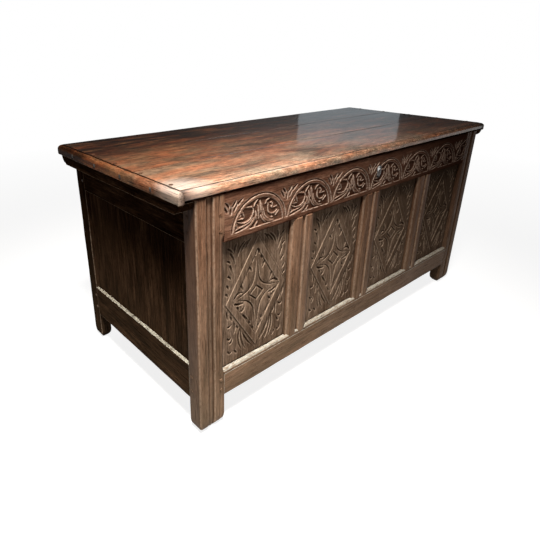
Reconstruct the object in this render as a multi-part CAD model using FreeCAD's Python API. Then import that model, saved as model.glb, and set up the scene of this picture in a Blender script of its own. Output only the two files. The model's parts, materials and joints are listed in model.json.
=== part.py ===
import FreeCAD, Part
import math
import os
from FreeCAD import Vector

# Joined oak coffer: a framed and panelled chest on its own stiles, with a hinged lid of boards.
# Millimetres.  +X runs along the chest to the right of someone facing its front, the front
# faces -Y, +Z is up, and the origin is on the floor under the middle of the lid.

# ---------------------------------------------------------------- driving sizes: the carcase
carcase_length = 1300.0
carcase_depth = 578.0
stile_height = 614.0

front_stile_width = 77.0
front_stile_depth = 40.0
back_stile_width = 34.0
back_stile_depth = 45.0
foot_wear_width = 9.0
foot_wear_height = 16.0

front_rail_thickness = 30.0
front_top_rail_height = 110.0
front_bottom_rail_bottom = 88.0
front_bottom_rail_height = 74.0
muntin_width = 87.0
front_panel_count = 4

end_rail_thickness = 28.0
end_top_rail_height = 102.0
end_bottom_rail_bottom = 96.0
end_bottom_rail_height = 98.0

back_rail_thickness = 28.0
back_top_rail_height = 102.0
back_bottom_rail_height = 82.0
back_muntin_width = 80.0
back_panel_count = 3

# panels and the grooves that hold them
front_panel_setback = 12.0
end_panel_setback = 10.0
back_panel_setback = 8.0
groove_width = 8.0
groove_depth = 10.0
panel_thickness = 11.0
panel_bevel_width = 18.0
panel_edge_gap = 1.0
panel_side_clearance = 0.2

# mortice and tenon joints
stile_tenon_length = 46.0
end_tenon_length = 24.0
back_tenon_length = 20.0
muntin_tenon_length = 22.0
tenon_haunch = 25.0
bottom_tenon_shoulder = 5.0
mortice_end_gap = 1.0

# mouldings worked on the frame
muntin_round_width = 23.0
muntin_round_depth = 7.0
muntin_channel_width = 14.0
muntin_channel_depth = 4.0
stile_round_width = 11.0
stile_round_depth = 7.0
stile_round_overrun = 8.0
stile_round_stop = 12.0
stile_channel_width = 20.0
stile_channel_depth = 4.5
stile_quirk_width = 4.0
stile_quirk_depth = 2.0
rail_edge_height = 9.0
rail_edge_depth = 3.0
rail_quirk_width = 3.0
rail_quirk_depth = 1.5

# relief carving on the front
relief_depth = 2.5
lunette_pitch = 176.0
lunette_first_margin = 18.0
lunette_base_margin = 13.0
lunette_crown_margin = 19.0
lunette_band_width = 12.0
lunette_gap = 3.0
lozenge_band_width = 19.0
lozenge_side_margin = 10.5
lozenge_end_margin = 17.5
lozenge_shift = 5.0
petal_length = 52.0
petal_width = 24.0
centre_square_size = 26.0

# bottom boards
bottom_board_count = 6
bottom_board_thickness = 12.0
bottom_board_underside = 112.0
bottom_board_gap = 0.5
bottom_groove_depth = 9.0

# ---------------------------------------------------------------- driving sizes: the lid
lid_seat_gap = 0.3
lid_thickness = 25.7
lid_end_overhang = 41.5
lid_front_overhang = 4.0
lid_back_overhang = 10.0
lid_board_count = 3
lid_board_gap = 0.4
thumbnail_width = 13.0
thumbnail_height = 11.0
thumbnail_quirk_width = 2.0
thumbnail_quirk_depth = 1.6
finger_rebate_height = 6.0
finger_rebate_depth = 24.0
end_moulding_width = 15.0
end_moulding_gap = 0.3
cleat_width = 34.0
cleat_height = 26.0
cleat_side_clearance = 2.0
cleat_end_radius = 22.0

# ---------------------------------------------------------------- driving sizes: pegs and ironwork
peg_radius = 4.5
peg_clearance = 0.15
peg_proud = 1.0
peg_shoulder_distance = 9.0
front_peg_length = 34.0
end_peg_length = 24.0
back_peg_length = 22.0
cleat_peg_count = 5
cleat_peg_margin = 52.8
cleat_peg_depth = 44.0

nail_head_size = 9.0
nail_head_height = 2.2
nail_shank_size = 3.0
nail_clearance = 0.1
escutcheon_nail_head_size = 4.4
board_nail_length = 30.0
moulding_nail_length = 32.0
moulding_nail_count = 4
moulding_nail_margin = 100.0
strap_nail_length = 16.0
strap_nail_first = 50.0
strap_nail_pitch = 60.0
strap_nail_count = 4
leaf_nail_drops = (24.0, 40.0, 66.0)
leaf_nail_offsets = (-8.0, 8.0, 0.0)
lock_nail_margin = 12.0
staple_nail_inset = 8.0
escutcheon_nail_margin = 4.5

hinge_distance = 400.0
strap_thickness = 2.5
strap_root_width = 32.0
strap_waist_width = 16.0
strap_root_length = 60.0
strap_length = 250.0
strap_finial_width = 30.0
leaf_height = 84.0
knuckle_radius = 4.8
knuckle_clearance = 0.3
centre_knuckle_width = 12.0
hinge_pin_radius = 2.4
hinge_pin_clearance = 0.06
hinge_pin_overhang = 1.5

lock_x = 10.0
lock_case_width = 104.0
lock_case_height = 78.0
lock_case_depth = 17.0
lock_case_wall = 1.5
lock_case_top_drop = 7.0
lock_flange = 10.0
staple_thickness = 4.0
staple_width = 11.0
staple_eye_clearance = 1.0
staple_drop = 27.0
staple_plate_length = 46.0
staple_plate_width = 24.0
staple_plate_thickness = 2.0
staple_slot_clearance = 2.0
staple_plate_offset = 6.0
bolt_length = 42.0
bolt_height = 7.0
bolt_depth = 4.4
bolt_clearance = 0.3
bolt_throw = 12.0
bolt_to_staple = 3.0
bolt_guide_thickness = 4.0
bolt_guide_gap = 3.0
bolt_talon_width = 3.0
bolt_talon_height = 6.0
keyhole_drop = 46.0
keyhole_radius = 3.8
keyhole_slot_width = 4.4
keyhole_slot_drop = 11.0
escutcheon_width = 20.0
escutcheon_rise = 14.0
escutcheon_height = 35.0
escutcheon_thickness = 1.6

# ---------------------------------------------------------------- places worked out from the sizes
left = -carcase_length / 2.0
right = carcase_length / 2.0
lid_depth = lid_front_overhang + carcase_depth + lid_back_overhang
lid_front = -lid_depth / 2.0
lid_back = lid_depth / 2.0
front = lid_front + lid_front_overhang
back = front + carcase_depth
lid_underside = stile_height + lid_seat_gap
lid_top = lid_underside + lid_thickness
lid_left = left - lid_end_overhang
lid_right = right + lid_end_overhang

front_shoulder_left = left + front_stile_width
front_shoulder_right = right - front_stile_width
front_opening_total = front_shoulder_right - front_shoulder_left
front_muntin_count = front_panel_count - 1
front_panel_sight = (front_opening_total - front_muntin_count * muntin_width) / front_panel_count
back_shoulder_left = left + back_stile_width
back_shoulder_right = right - back_stile_width
back_muntin_count = back_panel_count - 1
back_panel_sight = ((back_shoulder_right - back_shoulder_left
                     - back_muntin_count * back_muntin_width) / back_panel_count)
end_front_shoulder = front + front_stile_depth
end_back_shoulder = back - back_stile_depth
bottom_board_top = bottom_board_underside + bottom_board_thickness
front_top_rail_bottom = stile_height - front_top_rail_height
front_bottom_rail_top = front_bottom_rail_bottom + front_bottom_rail_height
end_top_rail_bottom = stile_height - end_top_rail_height
end_bottom_rail_top = end_bottom_rail_bottom + end_bottom_rail_height
back_top_rail_bottom = stile_height - back_top_rail_height
back_bottom_rail_top = bottom_board_top + back_bottom_rail_height
keyhole_z = stile_height - keyhole_drop
escutcheon_top = keyhole_z + escutcheon_rise
escutcheon_bottom = escutcheon_top - escutcheon_height
hinge_axis_y = back + knuckle_radius + knuckle_clearance
hinge_axis_z = lid_underside - knuckle_radius - knuckle_clearance
rail_inner_face = front + front_rail_thickness
bolt_z = lid_underside - staple_drop + bolt_height
bolt_y = rail_inner_face + lock_case_depth / 2.0
bolt_tip = lock_x - staple_thickness / 2.0 - bolt_to_staple
lock_case_top = stile_height - lock_case_top_drop

os.makedirs("parts", exist_ok=True)


# ---------------------------------------------------------------- shape helpers
def box(x0, x1, y0, y1, z0, z1):
    """Rectangular block between two corners."""
    return Part.makeBox(x1 - x0, y1 - y0, z1 - z0, Vector(x0, y0, z0))


def outline(start, *steps):
    """Closed face.  A step is the next point, or a (through, end) pair of points for an arc."""
    edges = []
    here = Vector(*start)
    for step in steps + (start,):
        if isinstance(step[0], tuple):
            end = Vector(*step[1])
            edges.append(Part.Arc(here, Vector(*step[0]), end).toShape())
        else:
            end = Vector(*step)
            if end.distanceToPoint(here) > 1e-6:
                edges.append(Part.LineSegment(here, end).toShape())
        here = end
    return Part.Face(Part.Wire(edges))


def facing(shape, origin, direction):
    """Turn a shape that points along +Z to point along direction, and move it to origin."""
    turned = shape.copy()
    turned.Placement = FreeCAD.Placement(Vector(*origin),
                                         FreeCAD.Rotation(Vector(0, 0, 1), Vector(*direction)))
    return turned


def fused(shapes):
    """One solid from shapes that touch or overlap."""
    whole = shapes[0]
    if len(shapes) > 1:
        whole = shapes[0].fuse(shapes[1:])
    return whole.removeSplitter()


def frustum(lower, upper):
    """Flat-sided solid between two like polygons, such as a bevelled field or a nail's head."""
    count = len(lower)
    faces = [Part.Face(Part.makePolygon(ring + ring[:1])) for ring in (lower, upper)]
    for index in range(count):
        after = (index + 1) % count
        side = [lower[index], lower[after], upper[after], upper[index]]
        faces.append(Part.Face(Part.makePolygon(side + side[:1])))
    solid = Part.Solid(Part.Shell(faces))
    if solid.Volume < 0:
        solid.reverse()
    return solid


def rectangle(x0, x1, z0, z1, y):
    """Corners of an upright rectangle."""
    return [Vector(x0, y, z0), Vector(x1, y, z0), Vector(x1, y, z1), Vector(x0, y, z1)]


def square(half, z):
    """Corners of a level square about the origin."""
    return [Vector(half, half, z), Vector(-half, half, z), Vector(-half, -half, z), Vector(half, -half, z)]


def less(shape, cutters):
    """The shape with every cutter taken out of it."""
    return shape.cut(list(cutters)).removeSplitter() if cutters else shape


def save(name, shape):
    """Write one piece, or one group of like pieces, to its own file."""
    shape.exportStep("parts/" + name + ".step")


def rounded_edge(corner_x, outward, z0, z1):
    """Cutter that rounds the inner front arris of a stile between two heights.

    outward is +1 or -1, the way along X from the wood to the opening.  Past either height the
    round dies away over the length of its stop.
    """
    full = [edge_section(corner_x, outward, z, 1.0) for z in (z0, z1)]
    faint = [edge_section(corner_x, outward, z, 0.1)
             for z in (z0 - stile_round_stop, z1 + stile_round_stop)]
    straight = Part.Face(full[0]).extrude(Vector(0, 0, z1 - z0))
    return fused([straight] + [Part.makeLoft(list(pair), True, True) for pair in zip(full, faint)])


def edge_section(corner_x, outward, z, scale):
    """Closed outline of what the rounding takes off the arris, at one height."""
    width = stile_round_width * scale
    depth = stile_round_depth * scale
    start = (corner_x - outward * width, front, z)
    end = (corner_x, front + depth, z)
    half_way = (corner_x - outward * width / 2.0, front + round_depth_at(width, depth, 0.5), z)
    clear = corner_x + outward * 2.0
    return outline(start, (half_way, end), (clear, front + depth, z), (clear, front - 2.0, z),
                   (start[0], front - 2.0, z)).OuterWire


def round_depth_at(width, depth, share):
    """Depth of a round, tangent to the face and depth deep at width, at a share of its width."""
    radius = (width * width + depth * depth) / (2.0 * depth)
    return radius - math.sqrt(radius * radius - (share * width) ** 2)


def riven(radius, length):
    """Six-sided prism from the origin along +Z, radius being that of its corners."""
    corners = []
    for step in range(6):
        angle = math.radians(60.0 * step + 30.0)
        corners.append(Vector(radius * math.cos(angle), radius * math.sin(angle), 0))
    return Part.Face(Part.makePolygon(corners + corners[:1])).extrude(Vector(0, 0, length))


def peg(origin, direction, length):
    """Riven six-sided oak peg driven from origin along direction, its head a little proud."""
    start = Vector(*origin) - Vector(*direction) * peg_proud
    return facing(riven(peg_radius, length), tuple(start), direction)


def peg_hole(origin, direction, length):
    """Hole for a peg, which has pressed its own six sides into the wood."""
    start = Vector(*origin) - Vector(*direction)
    return facing(riven(peg_radius + peg_clearance, length + 1.0 + peg_clearance), tuple(start), direction)


def nail(origin, direction, length, head_size=nail_head_size):
    """Hand-made nail with a faceted head, driven from origin along direction."""
    crown = nail_shank_size / 2.0
    head = frustum(square(head_size / 2.0, 0), square(crown, -nail_head_height))
    shank = box(-crown, crown, -crown, crown, -0.5, length)
    return facing(head.fuse(shank).removeSplitter(), origin, direction)


def nail_hole(origin, direction, length):
    """Square hole that a nail's shank fills."""
    half = nail_shank_size / 2.0 + nail_clearance
    return facing(box(-half, half, -half, half, -1.0, length + nail_clearance), origin, direction)


def driven(places, direction, length, make):
    """One peg, nail or hole at each place."""
    return [make(place, direction, length) for place in places]


# ---------------------------------------------------------------- where pegs and nails go
def front_muntin_centres():
    """Middle of each front muntin along X."""
    pitch = front_panel_sight + muntin_width
    first = front_shoulder_left + front_panel_sight + muntin_width / 2.0
    return [first + pitch * index for index in range(front_muntin_count)]


def back_muntin_centres():
    """Middle of each back muntin along X."""
    pitch = back_panel_sight + back_muntin_width
    first = back_shoulder_left + back_panel_sight + back_muntin_width / 2.0
    return [first + pitch * index for index in range(back_muntin_count)]


def spread(low, high, count):
    """Evenly spaced places between two limits, both included."""
    return [low + (high - low) * index / (count - 1) for index in range(count)]


front_top_tenon = (front_top_rail_bottom + groove_depth, stile_height - tenon_haunch)
front_bottom_tenon = (front_bottom_rail_bottom + bottom_tenon_shoulder,
                      front_bottom_rail_top - groove_depth)
end_top_tenon = (end_top_rail_bottom + groove_depth, stile_height - tenon_haunch)
end_bottom_tenon = (end_bottom_rail_bottom + bottom_tenon_shoulder, end_bottom_rail_top - groove_depth)
back_top_tenon = (back_top_rail_bottom + groove_depth, stile_height - tenon_haunch)
back_bottom_tenon = (bottom_board_top + bottom_tenon_shoulder, back_bottom_rail_top - groove_depth)


def tenon_peg_heights(tenon):
    """Two peg heights in one tenon, a quarter of its height from either edge."""
    low, high = tenon
    quarter = (high - low) / 4.0
    return [low + quarter, high - quarter]


front_stile_pegs = [(x, front, z)
                    for x in (front_shoulder_left - peg_shoulder_distance,
                              front_shoulder_right + peg_shoulder_distance)
                    for tenon in (front_top_tenon, front_bottom_tenon)
                    for z in tenon_peg_heights(tenon)]
end_peg_spots = [(y, z)
                 for y in (end_front_shoulder - peg_shoulder_distance,
                           end_back_shoulder + peg_shoulder_distance)
                 for tenon in (end_top_tenon, end_bottom_tenon)
                 for z in tenon_peg_heights(tenon)]
back_stile_pegs = [(x, back, z)
                   for x in (back_shoulder_left - peg_shoulder_distance,
                             back_shoulder_right + peg_shoulder_distance)
                   for tenon in (back_top_tenon, back_bottom_tenon)
                   for z in tenon_peg_heights(tenon)]
into_front = (0, 1, 0)
into_back = (0, -1, 0)
front_stile_peg_holes = driven(front_stile_pegs, into_front, front_peg_length, peg_hole)
back_peg_holes = driven(back_stile_pegs, into_back, back_peg_length, peg_hole)


def end_direction(side):
    """Direction from outside an end into the chest; side is -1 at the left and +1 at the right."""
    return (-side, 0, 0)


def end_peg_places(side):
    """Places of the pegs on one end."""
    return [(side * right, y, z) for y, z in end_peg_spots]


def end_peg_holes(side):
    """Holes for the pegs on one end."""
    return driven(end_peg_places(side), end_direction(side), end_peg_length, peg_hole)


# ---------------------------------------------------------------- the front frame
def worn_post(x0, x1, y0, y1):
    """Upright block for a stile, its foot worn away all round in two bevels."""

    def ring(inset, z):
        return [Vector(x0 + inset, y0 + inset, z), Vector(x1 - inset, y0 + inset, z),
                Vector(x1 - inset, y1 - inset, z), Vector(x0 + inset, y1 - inset, z)]

    knee = foot_wear_width * 0.35
    return fused([frustum(ring(foot_wear_width, 0), ring(knee, foot_wear_height * 0.35)),
                  frustum(ring(knee, foot_wear_height * 0.35), ring(0, foot_wear_height)),
                  box(x0, x1, y0, y1, foot_wear_height, stile_height)])


def front_stile(side):
    """Front corner stile with its foot; side is -1 for the left and +1 for the right."""
    outer = side * right
    inner = outer - side * front_stile_width
    middle = (outer + inner) / 2.0
    half = stile_channel_width / 2.0
    quirk_end = inner + side * stile_round_width
    quirk_start = quirk_end + side * stile_quirk_width
    rear = front + front_stile_depth
    section = outline(
        (outer, front, 0), (middle + side * half, front, 0),
        ((middle, front + stile_channel_depth, 0), (middle - side * half, front, 0)),
        (quirk_start, front, 0), ((quirk_start + quirk_end) / 2.0, front + stile_quirk_depth, 0),
        (quirk_end, front, 0), (inner, front, 0), (inner, rear, 0), (outer, rear, 0))
    x0, x1 = sorted((outer, inner))
    stile = section.extrude(Vector(0, 0, stile_height)).common(worn_post(x0, x1, front, rear))
    cutters = [stile_mortice(inner, side, tenon) for tenon in (front_top_tenon, front_bottom_tenon)]
    cutters += [end_mortice(side, rear, 1, tenon) for tenon in (end_top_tenon, end_bottom_tenon)]
    groove_x = sorted((inner, inner + side * groove_depth))
    cutters.append(box(groove_x[0], groove_x[1], front + front_panel_setback,
                       front + front_panel_setback + groove_width,
                       front_bottom_rail_top - groove_depth, front_top_rail_bottom + groove_depth))
    cutters.append(end_groove(side, rear - groove_depth, rear))
    cutters.append(rounded_edge(inner, -side, front_bottom_rail_top,
                                front_top_rail_bottom + stile_round_overrun))
    return less(stile, cutters + front_stile_peg_holes + end_peg_holes(side))


def stile_mortice(inner, side, tenon):
    """Mortice in a front stile for a front rail's tenon."""
    ends = sorted((inner, inner + side * (stile_tenon_length + mortice_end_gap)))
    return box(ends[0], ends[1], front + front_panel_setback,
               front + front_panel_setback + groove_width, tenon[0], tenon[1])


def end_band(side):
    """The span in X of the tongues, tenons and grooves of one end frame."""
    return sorted((side * (right - end_panel_setback), side * (right - end_panel_setback - groove_width)))


def end_mortice(side, shoulder, facing_back, tenon):
    """Mortice in a stile for an end rail; facing_back is +1 in a front stile, -1 in a back one."""
    near, far = end_band(side)
    ends = sorted((shoulder, shoulder - facing_back * (end_tenon_length + mortice_end_gap)))
    return box(near, far, ends[0], ends[1], tenon[0], tenon[1])


def end_groove(side, y0, y1):
    """Groove in a stile for the edge of an end panel."""
    near, far = end_band(side)
    return box(near, far, y0, y1, end_bottom_rail_top - groove_depth, end_top_rail_bottom + groove_depth)


def lunette_centres():
    """Middle of each lunette along the top rail; the last is cut off by the right stile."""
    first = front_shoulder_left + lunette_first_margin + lunette_pitch / 2.0
    count = math.ceil((front_shoulder_right - front_shoulder_left - lunette_first_margin) / lunette_pitch)
    return [first + lunette_pitch * index for index in range(count)]


def half_disc(centre_x, base_z, radius_x, radius_z, depth):
    """Half of an elliptical disc standing on base_z, in the face of the top rail."""
    major, minor = max(radius_x, radius_z), min(radius_x, radius_z)
    ellipse = Part.Ellipse(Vector(0, 0, 0), major, minor).toShape()
    disc = Part.Face(Part.Wire([ellipse])).extrude(Vector(0, 0, depth))
    if radius_z > radius_x:
        disc.rotate(Vector(0, 0, 0), Vector(0, 0, 1), 90)
    disc.rotate(Vector(0, 0, 0), Vector(1, 0, 0), 90)
    disc.translate(Vector(centre_x, front + depth, base_z))
    upper = box(centre_x - radius_x, centre_x + radius_x, front - 1, front + depth + 1,
                base_z, base_z + radius_z)
    return disc.common(upper)


def lunette_ground():
    """Sunk ground of the top rail's carving, with the arched bands left standing."""
    base = front_top_rail_bottom + lunette_base_margin
    crown = stile_height - lunette_crown_margin
    ground = box(front_shoulder_left + lunette_first_margin, front_shoulder_right,
                 front - 1, front + relief_depth, base, crown)
    bands = []
    for centre in lunette_centres():
        reach = (lunette_pitch - lunette_gap) / 2.0
        outer = half_disc(centre, base, reach, crown - base - lunette_gap, relief_depth)
        inner = half_disc(centre, base, reach - lunette_band_width,
                          crown - base - lunette_gap - lunette_band_width, relief_depth)
        bands.append(outer.cut(inner))
    return ground.cut(bands)


def keyhole(y0, y1):
    """Keyhole cutter: a round hole with a slot below it."""
    turned = Part.makeCylinder(keyhole_radius, y1 - y0, Vector(lock_x, y0, keyhole_z), Vector(0, 1, 0))
    half = keyhole_slot_width / 2.0
    slot = box(lock_x - half, lock_x + half, y0, y1, keyhole_z - keyhole_slot_drop, keyhole_z)
    return turned.fuse(slot)


def front_top_rail():
    """Deep carved rail under the lid, with the lock's keyhole in it."""
    rail = box(front_shoulder_left, front_shoulder_right, front, rail_inner_face,
               front_top_rail_bottom, stile_height)
    near = front + front_panel_setback
    far = near + groove_width
    tenons = [box(front_shoulder_left - stile_tenon_length, front_shoulder_left, near, far,
                  *front_top_tenon),
              box(front_shoulder_right, front_shoulder_right + stile_tenon_length, near, far,
                  *front_top_tenon)]
    rail = fused([rail] + tenons)
    cutters = [box(front_shoulder_left, front_shoulder_right, near, far,
                   front_top_rail_bottom, front_top_rail_bottom + groove_depth)]
    cutters += [muntin_mortice(x, muntin_width, near, far, front_top_rail_bottom, 1)
                for x in front_muntin_centres()]
    cutters.append(lunette_ground())
    cutters.append(keyhole(front - 1, rail_inner_face + 1))
    cutters += nail_holes_in_rail
    return less(rail, cutters + front_stile_peg_holes)


def muntin_mortice(x, width, near, far, edge, upward):
    """Mortice in a rail for the stub tenon of a muntin that meets it at the height edge."""
    half = width / 2.0 - groove_depth
    ends = sorted((edge, edge + upward * (muntin_tenon_length + mortice_end_gap)))
    return box(x - half, x + half, near, far, ends[0], ends[1])


def front_bottom_rail():
    """Bottom rail with a moulded top edge and a groove inside for the bottom boards."""
    low, high = front_bottom_rail_bottom, front_bottom_rail_top
    x = front_shoulder_left
    edge = high - rail_edge_height
    section = outline((x, front, low), (x, front, edge - rail_quirk_width),
                      (x, front + rail_quirk_depth, edge - rail_quirk_width / 2.0), (x, front, edge),
                      (x, front + rail_edge_depth, high), (x, rail_inner_face, high),
                      (x, rail_inner_face, low))
    rail = section.extrude(Vector(front_shoulder_right - front_shoulder_left, 0, 0))
    near = front + front_panel_setback
    far = near + groove_width
    tenons = [box(front_shoulder_left - stile_tenon_length, front_shoulder_left, near, far,
                  *front_bottom_tenon),
              box(front_shoulder_right, front_shoulder_right + stile_tenon_length, near, far,
                  *front_bottom_tenon)]
    cutters = [box(front_shoulder_left, front_shoulder_right, near, far, high - groove_depth, high)]
    cutters += [muntin_mortice(x, muntin_width, near, far, high, -1) for x in front_muntin_centres()]
    cutters.append(box(left, right, rail_inner_face - bottom_groove_depth, rail_inner_face,
                       bottom_board_underside, bottom_board_top))
    return less(fused([rail] + tenons), cutters + front_stile_peg_holes)


def front_muntin(x):
    """Upright between two carved panels: two rounded halves with a hollow between them.

    Its foot is scribed over the moulded top edge of the bottom rail.
    """
    half = muntin_width / 2.0
    flat = half - muntin_round_width
    channel = muntin_channel_width / 2.0
    swell = half - muntin_round_width / 2.0
    swell_depth = front + round_depth_at(muntin_round_width, muntin_round_depth, 0.5)
    shoulder = front + muntin_round_depth
    low, high = front_bottom_rail_top, front_top_rail_bottom
    foot = low - rail_edge_height
    section = outline((x - half, rail_inner_face, foot), (x - half, shoulder, foot),
                      ((x - swell, swell_depth, foot), (x - flat, front, foot)), (x - channel, front, foot),
                      ((x, front + muntin_channel_depth, foot), (x + channel, front, foot)),
                      (x + flat, front, foot), ((x + swell, swell_depth, foot), (x + half, shoulder, foot)),
                      (x + half, rail_inner_face, foot))
    upright = section.extrude(Vector(0, 0, high - foot))
    rail_edge = outline((x - half - 1, front, foot), (x - half - 1, front + rail_edge_depth, low),
                        (x - half - 1, rail_inner_face + 1, low),
                        (x - half - 1, rail_inner_face + 1, foot - 1),
                        (x - half - 1, front, foot - 1)).extrude(Vector(muntin_width + 2, 0, 0))
    near = front + front_panel_setback
    far = near + groove_width
    neck = half - groove_depth
    tenon = box(x - neck, x + neck, near, far, low - muntin_tenon_length, high + muntin_tenon_length)
    grooves = [box(x - half, x - neck, near, far, low, high), box(x + neck, x + half, near, far, low, high)]
    return less(fused([upright.cut(rail_edge), tenon]), grooves)


def board_with_bevels(x0, x1, y_face, z0, z1, toward_back, tongue):
    """Panel board in the XZ plane with its hidden face bevelled to a flat tongue all round."""
    flat = groove_depth
    inset = groove_depth + panel_bevel_width
    rear = y_face + toward_back * panel_thickness
    lip = y_face + toward_back * tongue
    slab = box(x0, x1, min(y_face, lip), max(y_face, lip), z0, z1)
    field = frustum(rectangle(x0 + flat, x1 - flat, z0 + flat, z1 - flat, lip),
                    rectangle(x0 + inset, x1 - inset, z0 + inset, z1 - inset, rear))
    return fused([slab, field])


def lozenge(x, z, half_width, half_height, y0, y1):
    """Upright diamond prism."""
    face = outline((x - half_width, y0, z), (x, y0, z + half_height), (x + half_width, y0, z),
                   (x, y0, z - half_height))
    return face.extrude(Vector(0, y1 - y0, 0))


def petal(x, z, dx, dz, y0, y1):
    """Chip-carved leaf, six-sided, that springs from the middle of a panel in the direction dx, dz."""
    half = petal_width / 2.0
    start = centre_square_size / 2.0
    corners = []
    for along, across in ((0.0, 0.0), (0.3, 1.0), (0.6, 1.0), (1.0, 0.0), (0.6, -1.0), (0.3, -1.0)):
        reach = start + along * petal_length
        corners.append((x + dx * reach - dz * half * across, y0, z + dz * reach + dx * half * across))
    return outline(corners[0], *corners[1:]).extrude(Vector(0, y1 - y0, 0))


def front_panel(index):
    """Carved panel: a lozenge band with a four-petalled flower, standing above a sunk ground."""
    x0 = front_shoulder_left + index * (front_panel_sight + muntin_width)
    x1 = x0 + front_panel_sight
    reach = groove_depth - panel_edge_gap
    z0, z1 = front_bottom_rail_top, front_top_rail_bottom
    face = front + front_panel_setback + panel_side_clearance
    tongue = groove_width - 2 * panel_side_clearance
    board = board_with_bevels(x0 - reach, x1 + reach, face, z0 - reach, z1 + reach, 1, tongue)
    ground = face + relief_depth
    x = (x0 + x1) / 2.0 + lozenge_shift
    z = (z0 + z1) / 2.0
    sunk = box(x0 + panel_edge_gap, x1 - panel_edge_gap, face - 1, ground,
               z0 + panel_edge_gap, z1 - panel_edge_gap)
    half_width = (x1 - x0) / 2.0 - lozenge_side_margin
    half_height = (z1 - z0) / 2.0 - lozenge_end_margin
    slope = math.hypot(half_width, half_height)
    band = lozenge_band_width * slope
    inner_width = half_width - band / half_height
    inner_height = half_height - band / half_width
    ring = lozenge(x, z, half_width, half_height, face - 2, ground + 1).cut(
        lozenge(x, z, inner_width, inner_height, face - 3, ground + 2))
    standing = [ring]
    for dx in (-math.sqrt(0.5), math.sqrt(0.5)):
        for dz in (-math.sqrt(0.5), math.sqrt(0.5)):
            standing.append(petal(x, z, dx, dz, face - 2, ground + 1))
    half = centre_square_size / 2.0
    standing.append(lozenge(x, z, half, half, face - 2, ground + 1))
    return less(board, [sunk.cut(standing)])


# ---------------------------------------------------------------- the ends
def end_rail(side, low, high, tenon, groove_z):
    """Square-edged end rail, flush with the outside of the stiles; groove_z is its panel groove."""
    x0, x1 = sorted((side * right, side * (right - end_rail_thickness)))
    y0, y1 = end_front_shoulder, end_back_shoulder
    near, far = end_band(side)
    rail = fused([box(x0, x1, y0, y1, low, high),
                  box(near, far, y0 - end_tenon_length, y1 + end_tenon_length, *tenon)])
    return less(rail, [box(near, far, y0, y1, *groove_z)] + end_peg_holes(side))


def end_panel(side):
    """Single plain panel in one end, set back behind the rails."""
    face = right - end_panel_setback - panel_side_clearance
    reach = groove_depth - panel_edge_gap
    tongue = groove_width - 2 * panel_side_clearance
    flat = board_with_bevels(end_front_shoulder - reach, end_back_shoulder + reach, 0.0,
                             end_bottom_rail_top - reach, end_top_rail_bottom + reach, 1, tongue)
    flat.rotate(Vector(0, 0, 0), Vector(0, 0, 1), 90)
    flat.translate(Vector(face, 0, 0))
    if side < 0:
        flat = flat.mirror(Vector(0, 0, 0), Vector(1, 0, 0))
    return flat


# ---------------------------------------------------------------- the back
def back_stile(side):
    """Back corner stile with its foot."""
    outer = side * right
    inner = outer - side * back_stile_width
    x0, x1 = sorted((outer, inner))
    stile = worn_post(x0, x1, back - back_stile_depth, back)
    cutters = [end_mortice(side, end_back_shoulder, -1, tenon)
               for tenon in (end_top_tenon, end_bottom_tenon)]
    cutters.append(end_groove(side, end_back_shoulder, end_back_shoulder + groove_depth))
    far = back - back_panel_setback
    near = far - groove_width
    depth = sorted((inner, inner + side * (back_tenon_length + mortice_end_gap)))
    for tenon in (back_top_tenon, back_bottom_tenon):
        cutters.append(box(depth[0], depth[1], near, far, tenon[0], tenon[1]))
    groove_x = sorted((inner, inner + side * groove_depth))
    cutters.append(box(groove_x[0], groove_x[1], near, far,
                       back_bottom_rail_top - groove_depth, back_top_rail_bottom + groove_depth))
    return less(stile, cutters + end_peg_holes(side) + back_peg_holes)


def back_rail(low, high, tenon, edge, upward, extra):
    """Plain back rail; edge is the height of the side that takes the panels and muntins."""
    far = back - back_panel_setback
    near = far - groove_width
    rail = box(back_shoulder_left, back_shoulder_right, back - back_rail_thickness, back, low, high)
    tenons = [box(back_shoulder_left - back_tenon_length, back_shoulder_left, near, far, *tenon),
              box(back_shoulder_right, back_shoulder_right + back_tenon_length, near, far, *tenon)]
    ends = sorted((edge, edge + upward * groove_depth))
    cutters = [box(back_shoulder_left, back_shoulder_right, near, far, ends[0], ends[1])]
    cutters += [muntin_mortice(x, back_muntin_width, near, far, edge, upward)
                for x in back_muntin_centres()]
    return less(fused([rail] + tenons), cutters + back_peg_holes + extra)


def back_muntin(x):
    """Plain upright between two back panels."""
    half = back_muntin_width / 2.0
    neck = half - groove_depth
    low, high = back_bottom_rail_top, back_top_rail_bottom
    far = back - back_panel_setback
    near = far - groove_width
    upright = box(x - half, x + half, back - back_rail_thickness, back, low, high)
    tenon = box(x - neck, x + neck, near, far, low - muntin_tenon_length, high + muntin_tenon_length)
    grooves = [box(x - half, x - neck, near, far, low, high), box(x + neck, x + half, near, far, low, high)]
    return less(fused([upright, tenon]), grooves + back_peg_holes)


def back_panel(index):
    """Plain back panel, its bevels turned to the inside."""
    x0 = back_shoulder_left + index * (back_panel_sight + back_muntin_width)
    x1 = x0 + back_panel_sight
    reach = groove_depth - panel_edge_gap
    face = back - back_panel_setback - panel_side_clearance
    tongue = groove_width - 2 * panel_side_clearance
    return board_with_bevels(x0 - reach, x1 + reach, face, back_bottom_rail_top - reach,
                             back_top_rail_bottom + reach, -1, tongue)


# ---------------------------------------------------------------- bottom boards
def bottom_board_edges(index):
    """The two sides of one bottom board along X."""
    x0 = left + end_rail_thickness
    pitch = (carcase_length - 2 * end_rail_thickness) / bottom_board_count
    return (x0 + pitch * index + bottom_board_gap / 2.0, x0 + pitch * (index + 1) - bottom_board_gap / 2.0)


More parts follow.
